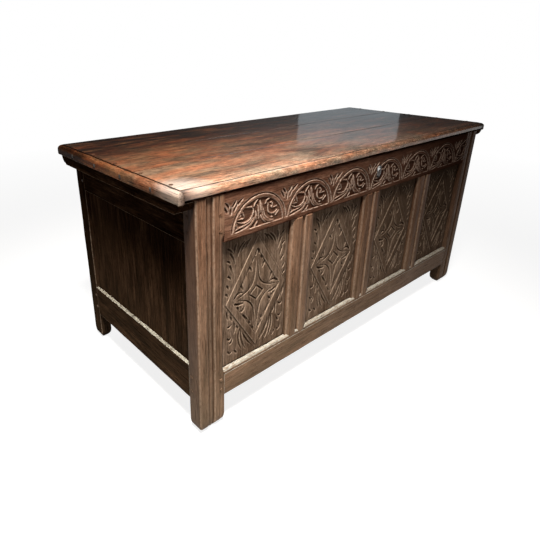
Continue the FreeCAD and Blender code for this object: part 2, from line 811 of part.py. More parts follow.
def bottom_nail_places():
    """Nails driven up through the boards into the back rail, one to a board."""
    places = []
    for index in range(bottom_board_count):
        x0, x1 = bottom_board_edges(index)
        places.append(((x0 + x1) / 2.0, back - back_rail_thickness / 2.0, bottom_board_underside))
    return places


def bottom_board(index):
    """Bottom board: front end in the front rail's groove, back end nailed up under the back rail."""
    x0, x1 = bottom_board_edges(index)
    board = box(x0, x1, rail_inner_face - bottom_groove_depth + panel_edge_gap, back,
                bottom_board_underside, bottom_board_top)
    corners = []
    for side in (-1, 1):
        inner_front = side * (right - front_stile_width)
        outer = side * (right + 1)
        cut_x = sorted((inner_front - side * bottom_board_gap, outer))
        corners.append(box(cut_x[0], cut_x[1], front - 1, end_front_shoulder + bottom_board_gap,
                           bottom_board_underside - 1, bottom_board_top + 1))
        cut_x = sorted((side * (right - back_stile_width - bottom_board_gap), outer))
        corners.append(box(cut_x[0], cut_x[1], end_back_shoulder - bottom_board_gap, back + 1,
                           bottom_board_underside - 1, bottom_board_top + 1))
    return less(board, corners + bottom_nail_holes)


# ---------------------------------------------------------------- the lid
def lid_board_edges(index):
    """The front and back edge of one lid board."""
    width = lid_depth / lid_board_count
    y0 = lid_front + width * index + (lid_board_gap / 2.0 if index > 0 else 0.0)
    y1 = lid_front + width * (index + 1) - (lid_board_gap / 2.0 if index < lid_board_count - 1 else 0.0)
    return y0, y1


def thumbnail_section(edge, inward, plane):
    """Moulded lid edge: quirk, quarter-round thumbnail and square nosing.

    edge is the outermost place, inward the sign towards the chest, and plane turns a distance
    along that axis and a height into a point.
    """
    quirk = edge + inward * thumbnail_width
    shoulder = quirk + inward * thumbnail_quirk_width
    step = lid_top - thumbnail_quirk_depth
    nose = lid_top - thumbnail_height
    span = thumbnail_width
    bend = math.sqrt(0.5)
    through = plane(quirk - inward * span * bend, nose + (step - nose) * bend)
    return [plane(shoulder, lid_top), plane(shoulder, step), plane(quirk, step),
            (through, plane(edge, nose))]


def lid_board(index):
    """One of the boards of the lid; the front one carries the moulded edge."""
    y0, y1 = lid_board_edges(index)
    x0 = lid_left + end_moulding_width + end_moulding_gap
    x1 = lid_right - end_moulding_width - end_moulding_gap

    def at(y, z):
        return (x0, y, z)

    if index == 0:
        lip = lid_underside + finger_rebate_height
        inner = front + finger_rebate_depth
        section = outline(at(y1, lid_underside), at(y1, lid_top), *thumbnail_section(y0, 1, at),
                          at(y0, lip), at(inner, lip), at(inner, lid_underside))
    else:
        section = outline(at(y1, lid_underside), at(y1, lid_top), at(y0, lid_top), at(y0, lid_underside))
    board = section.extrude(Vector(x1 - x0, 0, 0))
    return less(board, lid_fixing_holes)


def lid_end_moulding(side):
    """Moulded strip that covers the end grain of the lid boards."""
    edge = side * lid_right
    root = edge - side * end_moulding_width

    def at(x, z):
        return (x, lid_front, z)

    section = outline(at(root, lid_underside), at(root, lid_top),
                      *thumbnail_section(edge, -side, at)[2:], at(edge, lid_underside))
    return less(section.extrude(Vector(0, lid_depth, 0)), lid_fixing_holes + [corner_return()])


def corner_return():
    """Cutter that carries the front board's moulded edge round the ends of the two strips."""

    def at(y, z):
        return (lid_left - 1, y, z)

    section = outline(at(lid_front - 1, lid_top + 1), at(lid_front + thumbnail_width, lid_top + 1),
                      at(lid_front + thumbnail_width, lid_top - thumbnail_quirk_depth),
                      *thumbnail_section(lid_front, 1, at)[3:],
                      at(lid_front - 1, lid_top - thumbnail_height))
    return section.extrude(Vector(lid_right - lid_left + 2, 0, 0))


def cleat_middle(side):
    """Middle of a cleat along X."""
    return side * (right + cleat_side_clearance + cleat_width / 2.0)


def cleat_peg_places(side):
    """Pegs driven down through the lid into a cleat, one or more to a board."""
    ends = spread(front + cleat_peg_margin, back - cleat_peg_margin, cleat_peg_count)
    return [(cleat_middle(side), y, lid_top) for y in ends]


def lid_cleat(side):
    """Batten under the overhanging end of the lid, its ends cut to a hollow curve."""
    x0 = cleat_middle(side) - cleat_width / 2.0
    low = lid_underside - cleat_height
    radius = cleat_end_radius
    bend = radius * math.sqrt(0.5)
    section = outline((x0, front, lid_underside), (x0, back, lid_underside),
                      ((x0, back - radius + bend, lid_underside - bend),
                       (x0, back - radius, lid_underside - radius)),
                      (x0, back - radius, low), (x0, front + radius, low),
                      (x0, front + radius, lid_underside - radius),
                      ((x0, front + radius - bend, lid_underside - bend), (x0, front, lid_underside)))
    return less(section.extrude(Vector(cleat_width, 0, 0)), lid_fixing_holes)


def moulding_nail_places(side):
    """Nails driven into the end of the lid through a moulded strip."""
    height = lid_underside + lid_thickness * 0.4
    return [(side * lid_right, y, height)
            for y in spread(lid_front + moulding_nail_margin, lid_back - moulding_nail_margin,
                            moulding_nail_count)]


# ---------------------------------------------------------------- hinges
def strap_section(x):
    """Plan of a hinge strap: wide root, waist and pointed finial, from the knuckle forwards."""
    root = strap_root_width / 2.0
    waist = strap_waist_width / 2.0
    finial = strap_finial_width / 2.0
    tip = hinge_axis_y - strap_length
    shoulder = hinge_axis_y - strap_root_length
    return outline((x - root, hinge_axis_y, 0), (x - root, shoulder, 0), (x - waist, tip + 2.4 * finial, 0),
                   (x - finial, tip + 1.4 * finial, 0), (x, tip, 0), (x + finial, tip + 1.4 * finial, 0),
                   (x + waist, tip + 2.4 * finial, 0), (x + root, shoulder, 0), (x + root, hinge_axis_y, 0))


def knuckle(x0, x1):
    """Solid barrel on the hinge axis."""
    return Part.makeCylinder(knuckle_radius, x1 - x0, Vector(x0, hinge_axis_y, hinge_axis_z),
                             Vector(1, 0, 0))


def pin_bore(x):
    """Bore for the pin through one whole hinge."""
    return Part.makeCylinder(hinge_pin_radius + hinge_pin_clearance, strap_root_width + 2,
                             Vector(x - strap_root_width / 2.0 - 1, hinge_axis_y, hinge_axis_z),
                             Vector(1, 0, 0))


def strap_nail_places(x):
    """Nails through a strap into the lid."""
    return [(x, hinge_axis_y - strap_nail_first - strap_nail_pitch * index, lid_underside - strap_thickness)
            for index in range(strap_nail_count)]


def leaf_nail_places(x):
    """Nails through a fixed leaf into the back rail."""
    return [(x + offset, back + strap_thickness, hinge_axis_z - drop)
            for offset, drop in zip(leaf_nail_offsets, leaf_nail_drops)]


def hinge_strap(x):
    """Moving half of a hinge: strap under the lid with two outer knuckles."""
    half = strap_root_width / 2.0
    gap = centre_knuckle_width / 2.0 + knuckle_clearance
    plate = strap_section(x).extrude(Vector(0, 0, strap_thickness))
    plate.translate(Vector(0, 0, lid_underside - strap_thickness))
    barrels = [knuckle(x - half, x - gap), knuckle(x + gap, x + half)]
    centre_slot = box(x - gap, x + gap, back - 2.0, hinge_axis_y + 1, hinge_axis_z - 20, lid_underside + 1)
    body = fused([plate.cut(centre_slot)] + barrels)
    return less(body, [pin_bore(x)] + driven(strap_nail_places(x), (0, 0, 1), strap_nail_length, nail_hole))


def hinge_leaf(x):
    """Fixed half of a hinge: leaf on the back of the top rail with the centre knuckle."""
    half = strap_root_width / 2.0
    z = hinge_axis_z
    bottom = z - leaf_height
    gap = centre_knuckle_width / 2.0
    collar = z - knuckle_radius - knuckle_clearance
    face = outline((x - gap, back, z), (x - gap, back, collar), (x - half, back, collar),
                   (x - half, back, bottom + half), (x, back, bottom), (x + half, back, bottom + half),
                   (x + half, back, collar), (x + gap, back, collar), (x + gap, back, z))
    plate = face.extrude(Vector(0, strap_thickness, 0))
    body = fused([plate, knuckle(x - gap, x + gap)])
    return less(body, [pin_bore(x)] + driven(leaf_nail_places(x), into_back, strap_nail_length, nail_hole))


def hinge_pin(x):
    """Pin through the three knuckles, its ends a little long."""
    half = strap_root_width / 2.0 + hinge_pin_overhang
    return Part.makeCylinder(hinge_pin_radius, 2 * half, Vector(x - half, hinge_axis_y, hinge_axis_z),
                             Vector(1, 0, 0))


def strap_notch(x):
    """Notch in the top of the back rail that a strap passes through."""
    half = strap_root_width / 2.0 + lid_seat_gap
    return box(x - half, x + half, back - back_rail_thickness - 1, back + 1,
               lid_underside - strap_thickness - lid_seat_gap, stile_height + 1)


# ---------------------------------------------------------------- lock
def lock_case():
    """Iron box on the inside of the top rail, open towards the wood, with a slot for the staple."""
    half = lock_case_width / 2.0
    top = lock_case_top
    bottom = top - lock_case_height
    y0, y1 = rail_inner_face, rail_inner_face + lock_case_depth
    wall = lock_case_wall
    shell = box(lock_x - half, lock_x + half, y0, y1, bottom, top).cut(
        box(lock_x - half + wall, lock_x + half - wall, y0 - 1, y1 - wall, bottom + wall, top - wall))
    flange = box(lock_x - half - lock_flange, lock_x + half + lock_flange, y0, y0 + wall, bottom, top).cut(
        box(lock_x - half, lock_x + half, y0 - 1, y1, bottom - 1, top + 1))
    reach_x = staple_thickness / 2.0 + staple_slot_clearance
    slot = box(lock_x - reach_x, lock_x + reach_x, y0 + wall, y1 - wall, top - wall - 1, top + 1)
    guides = []
    for x in bolt_guide_places():
        guides.append(box(x, x + bolt_guide_thickness, y0, y1 - wall,
                          bolt_z - bolt_height, bolt_z + bolt_height))
    way = box(lock_x - half + wall + 1, lock_x + half - wall - 1,
              bolt_y - bolt_depth / 2.0 - bolt_clearance, bolt_y + bolt_depth / 2.0 + bolt_clearance,
              bolt_z - bolt_height / 2.0 - bolt_clearance, bolt_z + bolt_height / 2.0 + bolt_clearance)
    guides = [guide.cut(way) for guide in guides]
    body = fused([shell, flange] + guides)
    return less(body, [slot] + lock_nail_holes)


def bolt_guide_places():
    """Where the two guides of the bolt start along X, left of the staple's slot.

    The bolt's talon travels between them, so they also stop it at either end of its throw.
    """
    second = bolt_tip - bolt_guide_gap - bolt_guide_thickness
    travel = bolt_throw + bolt_talon_width + 2 * bolt_clearance
    return (second - travel - bolt_guide_thickness, second)


def lock_bolt():
    """Sliding bolt, drawn back at rest; it shoots along +X through the staple."""
    bar = box(bolt_tip - bolt_length, bolt_tip, bolt_y - bolt_depth / 2.0, bolt_y + bolt_depth / 2.0,
              bolt_z - bolt_height / 2.0, bolt_z + bolt_height / 2.0)
    talon_x = bolt_guide_places()[0] + bolt_guide_thickness + bolt_clearance
    talon = box(talon_x, talon_x + bolt_talon_width, bolt_y - bolt_depth / 2.0, bolt_y + bolt_depth / 2.0,
                bolt_z - bolt_height / 2.0 - bolt_talon_height, bolt_z - bolt_height / 2.0)
    return fused([bar, talon])


def lid_staple():
    """Plate under the lid with a tongue that drops into the lock; the bolt passes through its eye."""
    plate_half = staple_plate_length / 2.0
    depth_half = staple_plate_width / 2.0
    middle = bolt_y + staple_plate_offset
    plate = box(lock_x - plate_half, lock_x + plate_half, middle - depth_half, middle + depth_half,
                lid_underside - staple_plate_thickness, lid_underside)
    half = staple_width / 2.0
    low = lid_underside - staple_drop
    bend = half * math.sqrt(0.5)
    tongue_x = lock_x - staple_thickness / 2.0
    tongue = outline((tongue_x, bolt_y - half, lid_underside), (tongue_x, bolt_y - half, low + half),
                     ((tongue_x, bolt_y, low), (tongue_x, bolt_y + half, low + half)),
                     (tongue_x, bolt_y + half, lid_underside)).extrude(Vector(staple_thickness, 0, 0))
    eye = box(tongue_x - 1, tongue_x + staple_thickness + 1,
              bolt_y - bolt_depth / 2.0 - staple_eye_clearance,
              bolt_y + bolt_depth / 2.0 + staple_eye_clearance,
              bolt_z - bolt_height / 2.0 - staple_eye_clearance,
              bolt_z + bolt_height / 2.0 + staple_eye_clearance)
    holes = driven(staple_nail_places(), (0, 0, 1), strap_nail_length, nail_hole)
    return less(fused([plate, tongue]), [eye] + holes)


def staple_nail_places():
    """Nails that hold the staple's plate to the lid."""
    reach = staple_plate_length / 2.0 - staple_nail_inset
    return [(lock_x + side * reach, bolt_y + staple_plate_offset, lid_underside - staple_plate_thickness)
            for side in (-1, 1)]


def lock_nail_places():
    """Nails through the flanges of the lock case into the rail."""
    half = lock_case_width / 2.0 + lock_flange / 2.0
    heights = (lock_case_top - lock_nail_margin, lock_case_top - lock_case_height + lock_nail_margin)
    return [(lock_x + side * half, rail_inner_face + lock_case_wall, z)
            for side in (-1, 1) for z in heights]


def escutcheon():
    """Small iron plate round the keyhole, straight-sided with a pointed foot."""
    half = escutcheon_width / 2.0
    cut = half / 2.0
    plate = outline((lock_x - half, front, escutcheon_bottom + half),
                    (lock_x - half, front, escutcheon_top - cut),
                    (lock_x - cut, front, escutcheon_top), (lock_x + cut, front, escutcheon_top),
                    (lock_x + half, front, escutcheon_top - cut),
                    (lock_x + half, front, escutcheon_bottom + half),
                    (lock_x, front, escutcheon_bottom))
    solid = plate.extrude(Vector(0, -escutcheon_thickness, 0))
    return less(solid, [keyhole(front - 5, front + 5)] + escutcheon_nail_holes)


def escutcheon_nail_places():
    """Two small nails, above and below the keyhole."""
    return [(lock_x, front - escutcheon_thickness, escutcheon_top - escutcheon_nail_margin),
            (lock_x, front - escutcheon_thickness, escutcheon_bottom + escutcheon_nail_margin)]


# ---------------------------------------------------------------- holes shared by several pieces
hinge_places = (-hinge_distance, hinge_distance)
bottom_nail_holes = driven(bottom_nail_places(), (0, 0, 1), board_nail_length, nail_hole)
lock_nail_holes = driven(lock_nail_places(), into_back, strap_nail_length, nail_hole)
escutcheon_nail_holes = driven(escutcheon_nail_places(), into_front, strap_nail_length, nail_hole)
nail_holes_in_rail = lock_nail_holes + escutcheon_nail_holes
leaf_nail_holes = []
lid_fixing_holes = driven(staple_nail_places(), (0, 0, 1), strap_nail_length, nail_hole)
for hinge_x in hinge_places:
    leaf_nail_holes += driven(leaf_nail_places(hinge_x), into_back, strap_nail_length, nail_hole)
    lid_fixing_holes += driven(strap_nail_places(hinge_x), (0, 0, 1), strap_nail_length, nail_hole)
for end_side in (-1, 1):
    lid_fixing_holes += driven(cleat_peg_places(end_side), (0, 0, -1), cleat_peg_depth, peg_hole)
    lid_fixing_holes += driven(moulding_nail_places(end_side), end_direction(end_side),
                               moulding_nail_length, nail_hole)

# ---------------------------------------------------------------- write every piece
save("front_top_rail", front_top_rail())
save("front_bottom_rail", front_bottom_rail())
for number, place in enumerate(front_muntin_centres(), 1):
    save("front_muntin_%d" % number, front_muntin(place))
for number in range(front_panel_count):
    save("front_panel_%d" % (number + 1), front_panel(number))

for end_side, end_name in ((-1, "left"), (1, "right")):
    save("front_stile_" + end_name, front_stile(end_side))
    save("end_top_rail_" + end_name,
         end_rail(end_side, end_top_rail_bottom, stile_height, end_top_tenon,
                  (end_top_rail_bottom, end_top_rail_bottom + groove_depth)))
    save("end_bottom_rail_" + end_name,
         end_rail(end_side, end_bottom_rail_bottom, end_bottom_rail_top, end_bottom_tenon,
                  (end_bottom_rail_top - groove_depth, end_bottom_rail_top)))
    save("end_panel_" + end_name, end_panel(end_side))
    save("back_stile_" + end_name, back_stile(end_side))
    save("lid_end_moulding_" + end_name, lid_end_moulding(end_side))
    save("lid_cleat_" + end_name, lid_cleat(end_side))

save("back_top_rail", back_rail(back_top_rail_bottom, stile_height, back_top_tenon, back_top_rail_bottom, 1,
                                leaf_nail_holes + [strap_notch(x) for x in hinge_places]))
save("back_bottom_rail", back_rail(bottom_board_top, back_bottom_rail_top, back_bottom_tenon,
                                   back_bottom_rail_top, -1, bottom_nail_holes))
for number, place in enumerate(back_muntin_centres(), 1):
    save("back_muntin_%d" % number, back_muntin(place))
for number in range(back_panel_count):
    save("back_panel_%d" % (number + 1), back_panel(number))
for number in range(bottom_board_count):
    save("bottom_board_%d" % (number + 1), bottom_board(number))
for number, name in enumerate(("front", "middle", "back")[:lid_board_count]):
    save("lid_board_" + name, lid_board(number))

for hinge_x, hinge_name in zip(hinge_places, ("left", "right")):
    save("hinge_strap_" + hinge_name, hinge_strap(hinge_x))
    save("hinge_leaf_" + hinge_name, hinge_leaf(hinge_x))
    save("hinge_pin_" + hinge_name, hinge_pin(hinge_x))
save("lock_case", lock_case())
save("lock_bolt", lock_bolt())
save("lid_staple", lid_staple())
save("keyhole_escutcheon", escutcheon())

front_pegs = driven(front_stile_pegs, into_front, front_peg_length, peg)
back_pegs = driven(back_stile_pegs, into_back, back_peg_length, peg)
end_pegs = []
cleat_pegs = []
moulding_nails = []
for end_side in (-1, 1):
    end_pegs += driven(end_peg_places(end_side), end_direction(end_side), end_peg_length, peg)
    cleat_pegs += driven(cleat_peg_places(end_side), (0, 0, -1), cleat_peg_depth, peg)
    moulding_nails += driven(moulding_nail_places(end_side), end_direction(end_side),
                             moulding_nail_length, nail)
lid_iron_nails = driven(staple_nail_places(), (0, 0, 1), strap_nail_length, nail)
back_iron_nails = []
for hinge_x in hinge_places:
    lid_iron_nails += driven(strap_nail_places(hinge_x), (0, 0, 1), strap_nail_length, nail)
    back_iron_nails += driven(leaf_nail_places(hinge_x), into_back, strap_nail_length, nail)
save("pegs_front", Part.makeCompound(front_pegs))
save("pegs_ends", Part.makeCompound(end_pegs))
save("pegs_back", Part.makeCompound(back_pegs))
save("pegs_lid", Part.makeCompound(cleat_pegs))
save("nails_lid_mouldings", Part.makeCompound(moulding_nails))
save("nails_lid_iron", Part.makeCompound(lid_iron_nails))
save("nails_hinge_leaves", Part.makeCompound(back_iron_nails))
save("nails_lock", Part.makeCompound(driven(lock_nail_places(), into_back, strap_nail_length, nail)))
save("nails_escutcheon", Part.makeCompound([nail(place, into_front, strap_nail_length,
                                                 escutcheon_nail_head_size)
                                            for place in escutcheon_nail_places()]))
save("nails_bottom_boards", Part.makeCompound(driven(bottom_nail_places(), (0, 0, 1),
                                                     board_nail_length, nail)))
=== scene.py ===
import json
import math
import random

import bmesh
import bpy
import numpy as np
from mathutils import Matrix, Vector, noise


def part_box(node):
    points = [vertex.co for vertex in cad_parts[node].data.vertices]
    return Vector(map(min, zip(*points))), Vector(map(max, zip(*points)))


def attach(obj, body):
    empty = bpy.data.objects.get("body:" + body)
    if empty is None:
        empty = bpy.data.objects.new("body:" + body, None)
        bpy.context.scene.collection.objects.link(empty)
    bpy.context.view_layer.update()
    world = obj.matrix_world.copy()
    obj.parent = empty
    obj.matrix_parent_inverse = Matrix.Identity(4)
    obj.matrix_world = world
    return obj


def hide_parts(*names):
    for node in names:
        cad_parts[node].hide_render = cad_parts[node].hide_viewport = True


# Looks of the joined oak coffer. Metres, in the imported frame: the front faces -Y, the floor is at Z 0.
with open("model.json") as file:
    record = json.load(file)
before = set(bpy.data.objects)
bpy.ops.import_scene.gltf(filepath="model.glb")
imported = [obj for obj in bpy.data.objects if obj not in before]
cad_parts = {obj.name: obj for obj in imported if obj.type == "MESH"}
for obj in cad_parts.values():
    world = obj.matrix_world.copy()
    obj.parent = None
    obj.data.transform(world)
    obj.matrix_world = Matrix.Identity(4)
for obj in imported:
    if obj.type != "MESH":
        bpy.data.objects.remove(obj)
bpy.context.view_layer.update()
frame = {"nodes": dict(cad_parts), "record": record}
MM = 0.001
SLOT_OF = {part["node"]: part["material_slot"] for part in frame["record"]["subparts"]}
BODY_OF = {node: body for body, nodes in frame["record"]["behaviour"]["bodies"].items() for node in nodes}

# ---------------------------------------------------------------- camera
IMAGE = 540.0
SENSOR = 36.0
FOCAL_PX = 454.163
CENTRE_PX = (229.985, 232.810)
CAMERA_AT = Vector((-1.15355, -0.98295, 0.89819))
YAW, PITCH, ROLL = 0.712094, -0.389933, 0.005555


def place_camera():
    """Camera from its place, three turns and focal length; the shift brings its axis to CENTRE_PX."""
    forward = Vector((math.sin(YAW) * math.cos(PITCH), math.cos(YAW) * math.cos(PITCH), math.sin(PITCH)))
    level = Vector((math.cos(YAW), -math.sin(YAW), 0.0))
    up = level.cross(forward)
    right = math.cos(ROLL) * level + math.sin(ROLL) * up
    up = right.cross(forward)
    camera = bpy.data.objects.new("camera", bpy.data.cameras.new("camera"))
    bpy.context.scene.collection.objects.link(camera)
    turned = Matrix((right, up, -forward)).transposed().to_4x4()
    camera.matrix_world = Matrix.Translation(CAMERA_AT) @ turned
    camera.data.sensor_width = SENSOR
    camera.data.lens = FOCAL_PX / IMAGE * SENSOR
    camera.data.shift_x = (IMAGE / 2.0 - CENTRE_PX[0]) / IMAGE
    camera.data.shift_y = (CENTRE_PX[1] - IMAGE / 2.0) / IMAGE
    camera.data.clip_start = 0.01
    bpy.context.scene.camera = camera


place_camera()


# ---------------------------------------------------------------- materials
# Each pair says where along an axis a change of colour starts and where it is complete.
# Painted shade darkens the lid toward the back; rub and a painted highlight pale its front.
BACK_SHADE_Y = (-0.10, 0.28)
PALER_RUB_AND_GLARE_Y = (0.02, -0.27)
RUB_AND_GLARE_Y = (0.16, -0.30)
EDGE_RUB_Y = (-0.24, -0.290)
RUB_AND_GLARE_X = (0.30, -0.25)
# The wood pales toward the floor.
PALER_LOW_Z = (0.52, 0.06)
# Painted shade: the chest darkens toward its upper right and on its left side, where the light falls off.
FALLOFF_SHADE_X = (-0.35, 0.45)
FALLOFF_SHADE_Z = (0.10, 0.50)
LEFT_SIDE_SHADE_X = (-0.6478, -0.6490)
# The lid's front left corner, rubbed palest and given a painted highlight.
GLARE_CORNER = (-0.655, -0.270, 0.650)
# How far from its middle a painted highlight starts, and where it is at full strength: on the lid's rubbed
# corner and on the iron plate.
CORNER_REACH = (0.08, 0.02)
GLINT_REACH = (9 * MM, 3 * MM)

# Colours of the lid's rubbed front, which carry its painted highlight as well, and of its palest corner.
WARM_RUB_AND_GLARE, PALE_RUB_AND_GLARE, CORNER_GLARE = (0.38, 0.185, 0.095), (0.42, 0.255, 0.160), (0.62, 0.55, 0.49)
REDDER, GREYER = (1.18, 0.90, 0.80), (0.88, 1.02, 1.10)
# Colour that pales the wood toward the floor.
LOW_PALE = (0.235, 0.180, 0.115)
BLACK_IRON, GREY_IRON, BROWN_IRON = (0.016, 0.014, 0.013), (0.06, 0.052, 0.047), (0.12, 0.07, 0.045)
# The bright iron colour is a painted highlight.
RUSTY_IRON, IRON_GLINT = (0.085, 0.05, 0.032), (0.90, 0.88, 0.86)
WHITE = (1.0, 1.0, 1.0, 1.0)
WARM_WHITE = (1.0, 0.96, 0.92)
COAT_ROUGHNESS = 0.07
FINE_BUMP, BROAD_BUMP, IRON_BUMP = 0.0006, 0.0022, 0.0007


class Nodes:
    """Short calls for building the node tree of one material or world, its owner."""

    def __init__(self, owner):
        self.owner = owner
        owner.use_nodes = True
        self.tree = owner.node_tree
        self.tree.nodes.clear()

    def add(self, kind, inputs=None, **settings):
        node = self.tree.nodes.new(kind)
        for key, value in settings.items():
            setattr(node, key, value)
        for key, value in (inputs or {}).items():
            if isinstance(value, bpy.types.NodeSocket):
                self.tree.links.new(value, node.inputs[key])
            else:
                node.inputs[key].default_value = value
        return node

    def ramp(self, value, stops):
        node = self.add("ShaderNodeValToRGB", {"Fac": value})
        elements = node.color_ramp.elements
        while len(elements) < len(stops):
            elements.new(0.5)
        for element, (place, colour) in zip(elements, stops):
            element.position = place
            element.color = colour + (1.0,)
        return node.outputs["Color"]

    def greys(self, value, start, low, end, high):
        """Grey of brightness low up to start, and high from end on."""
        return self.ramp(value, [(start, (low,) * 3), (end, (high,) * 3)])

    def mix(self, factor, a, b, blend="MIX"):
        a, b = (colour + (1.0,) if isinstance(colour, tuple) else colour for colour in (a, b))
        node = self.add("ShaderNodeMix", {0: factor, 6: a, 7: b}, data_type="RGBA", blend_type=blend)
        return node.outputs[2]

    def cover(self, colour, where, strength, over):
        """Colour with over laid on it, as strongly as strength where the mask is 1."""
        return self.mix(self.math("MULTIPLY", where, strength, True), colour, over)

    def math(self, operation, a, b, clamp=False):
        return self.add("ShaderNodeMath", {0: a, 1: b}, operation=operation, use_clamp=clamp).outputs[0]

    def noise(self, vector, scale, detail=4.0, roughness=0.6, distortion=0.0):
        node = self.add("ShaderNodeTexNoise", {"Vector": vector, "Scale": scale, "Detail": detail,
                                               "Roughness": roughness, "Distortion": distortion})
        return node.outputs["Fac"]

    def place(self):
        return self.add("ShaderNodeTexCoord").outputs["Object"]

    def axes(self):
        """Object coordinates in metres, by the names X, Y and Z."""
        return self.add("ShaderNodeSeparateXYZ", {0: self.place()}).outputs

    def span(self, value, start, end, low=0.0, high=1.0):
        """low where the value reads start, high where it reads end, and neither is passed."""
        return self.add("ShaderNodeMapRange", {"Value": value, "From Min": start, "From Max": end,
                                               "To Min": low, "To Max": high}).outputs[0]

    def near(self, point, start, end):
        """0 from start outward and 1 from end inward, by distance from a point."""
        off = self.add("ShaderNodeVectorMath", {0: self.place(), 1: point}, operation="DISTANCE")
        return self.span(off.outputs["Value"], start, end)

    def stretched(self, along, offset, length):
        """Object coordinates drawn out along the grain; offset moves each board to its own wood."""
        scale = [1.0, 1.0, 1.0]
        scale["XYZ".index(along)] = length
        return self.add("ShaderNodeMapping", {"Vector": self.place(), "Scale": scale,
                                              "Location": offset}).outputs[0]

    def bumped(self, height, strength, distance, normal=None):
        inputs = {"Height": height, "Strength": strength, "Distance": distance}
        if normal is not None:
            inputs["Normal"] = normal
        return self.add("ShaderNodeBump", inputs).outputs[0]


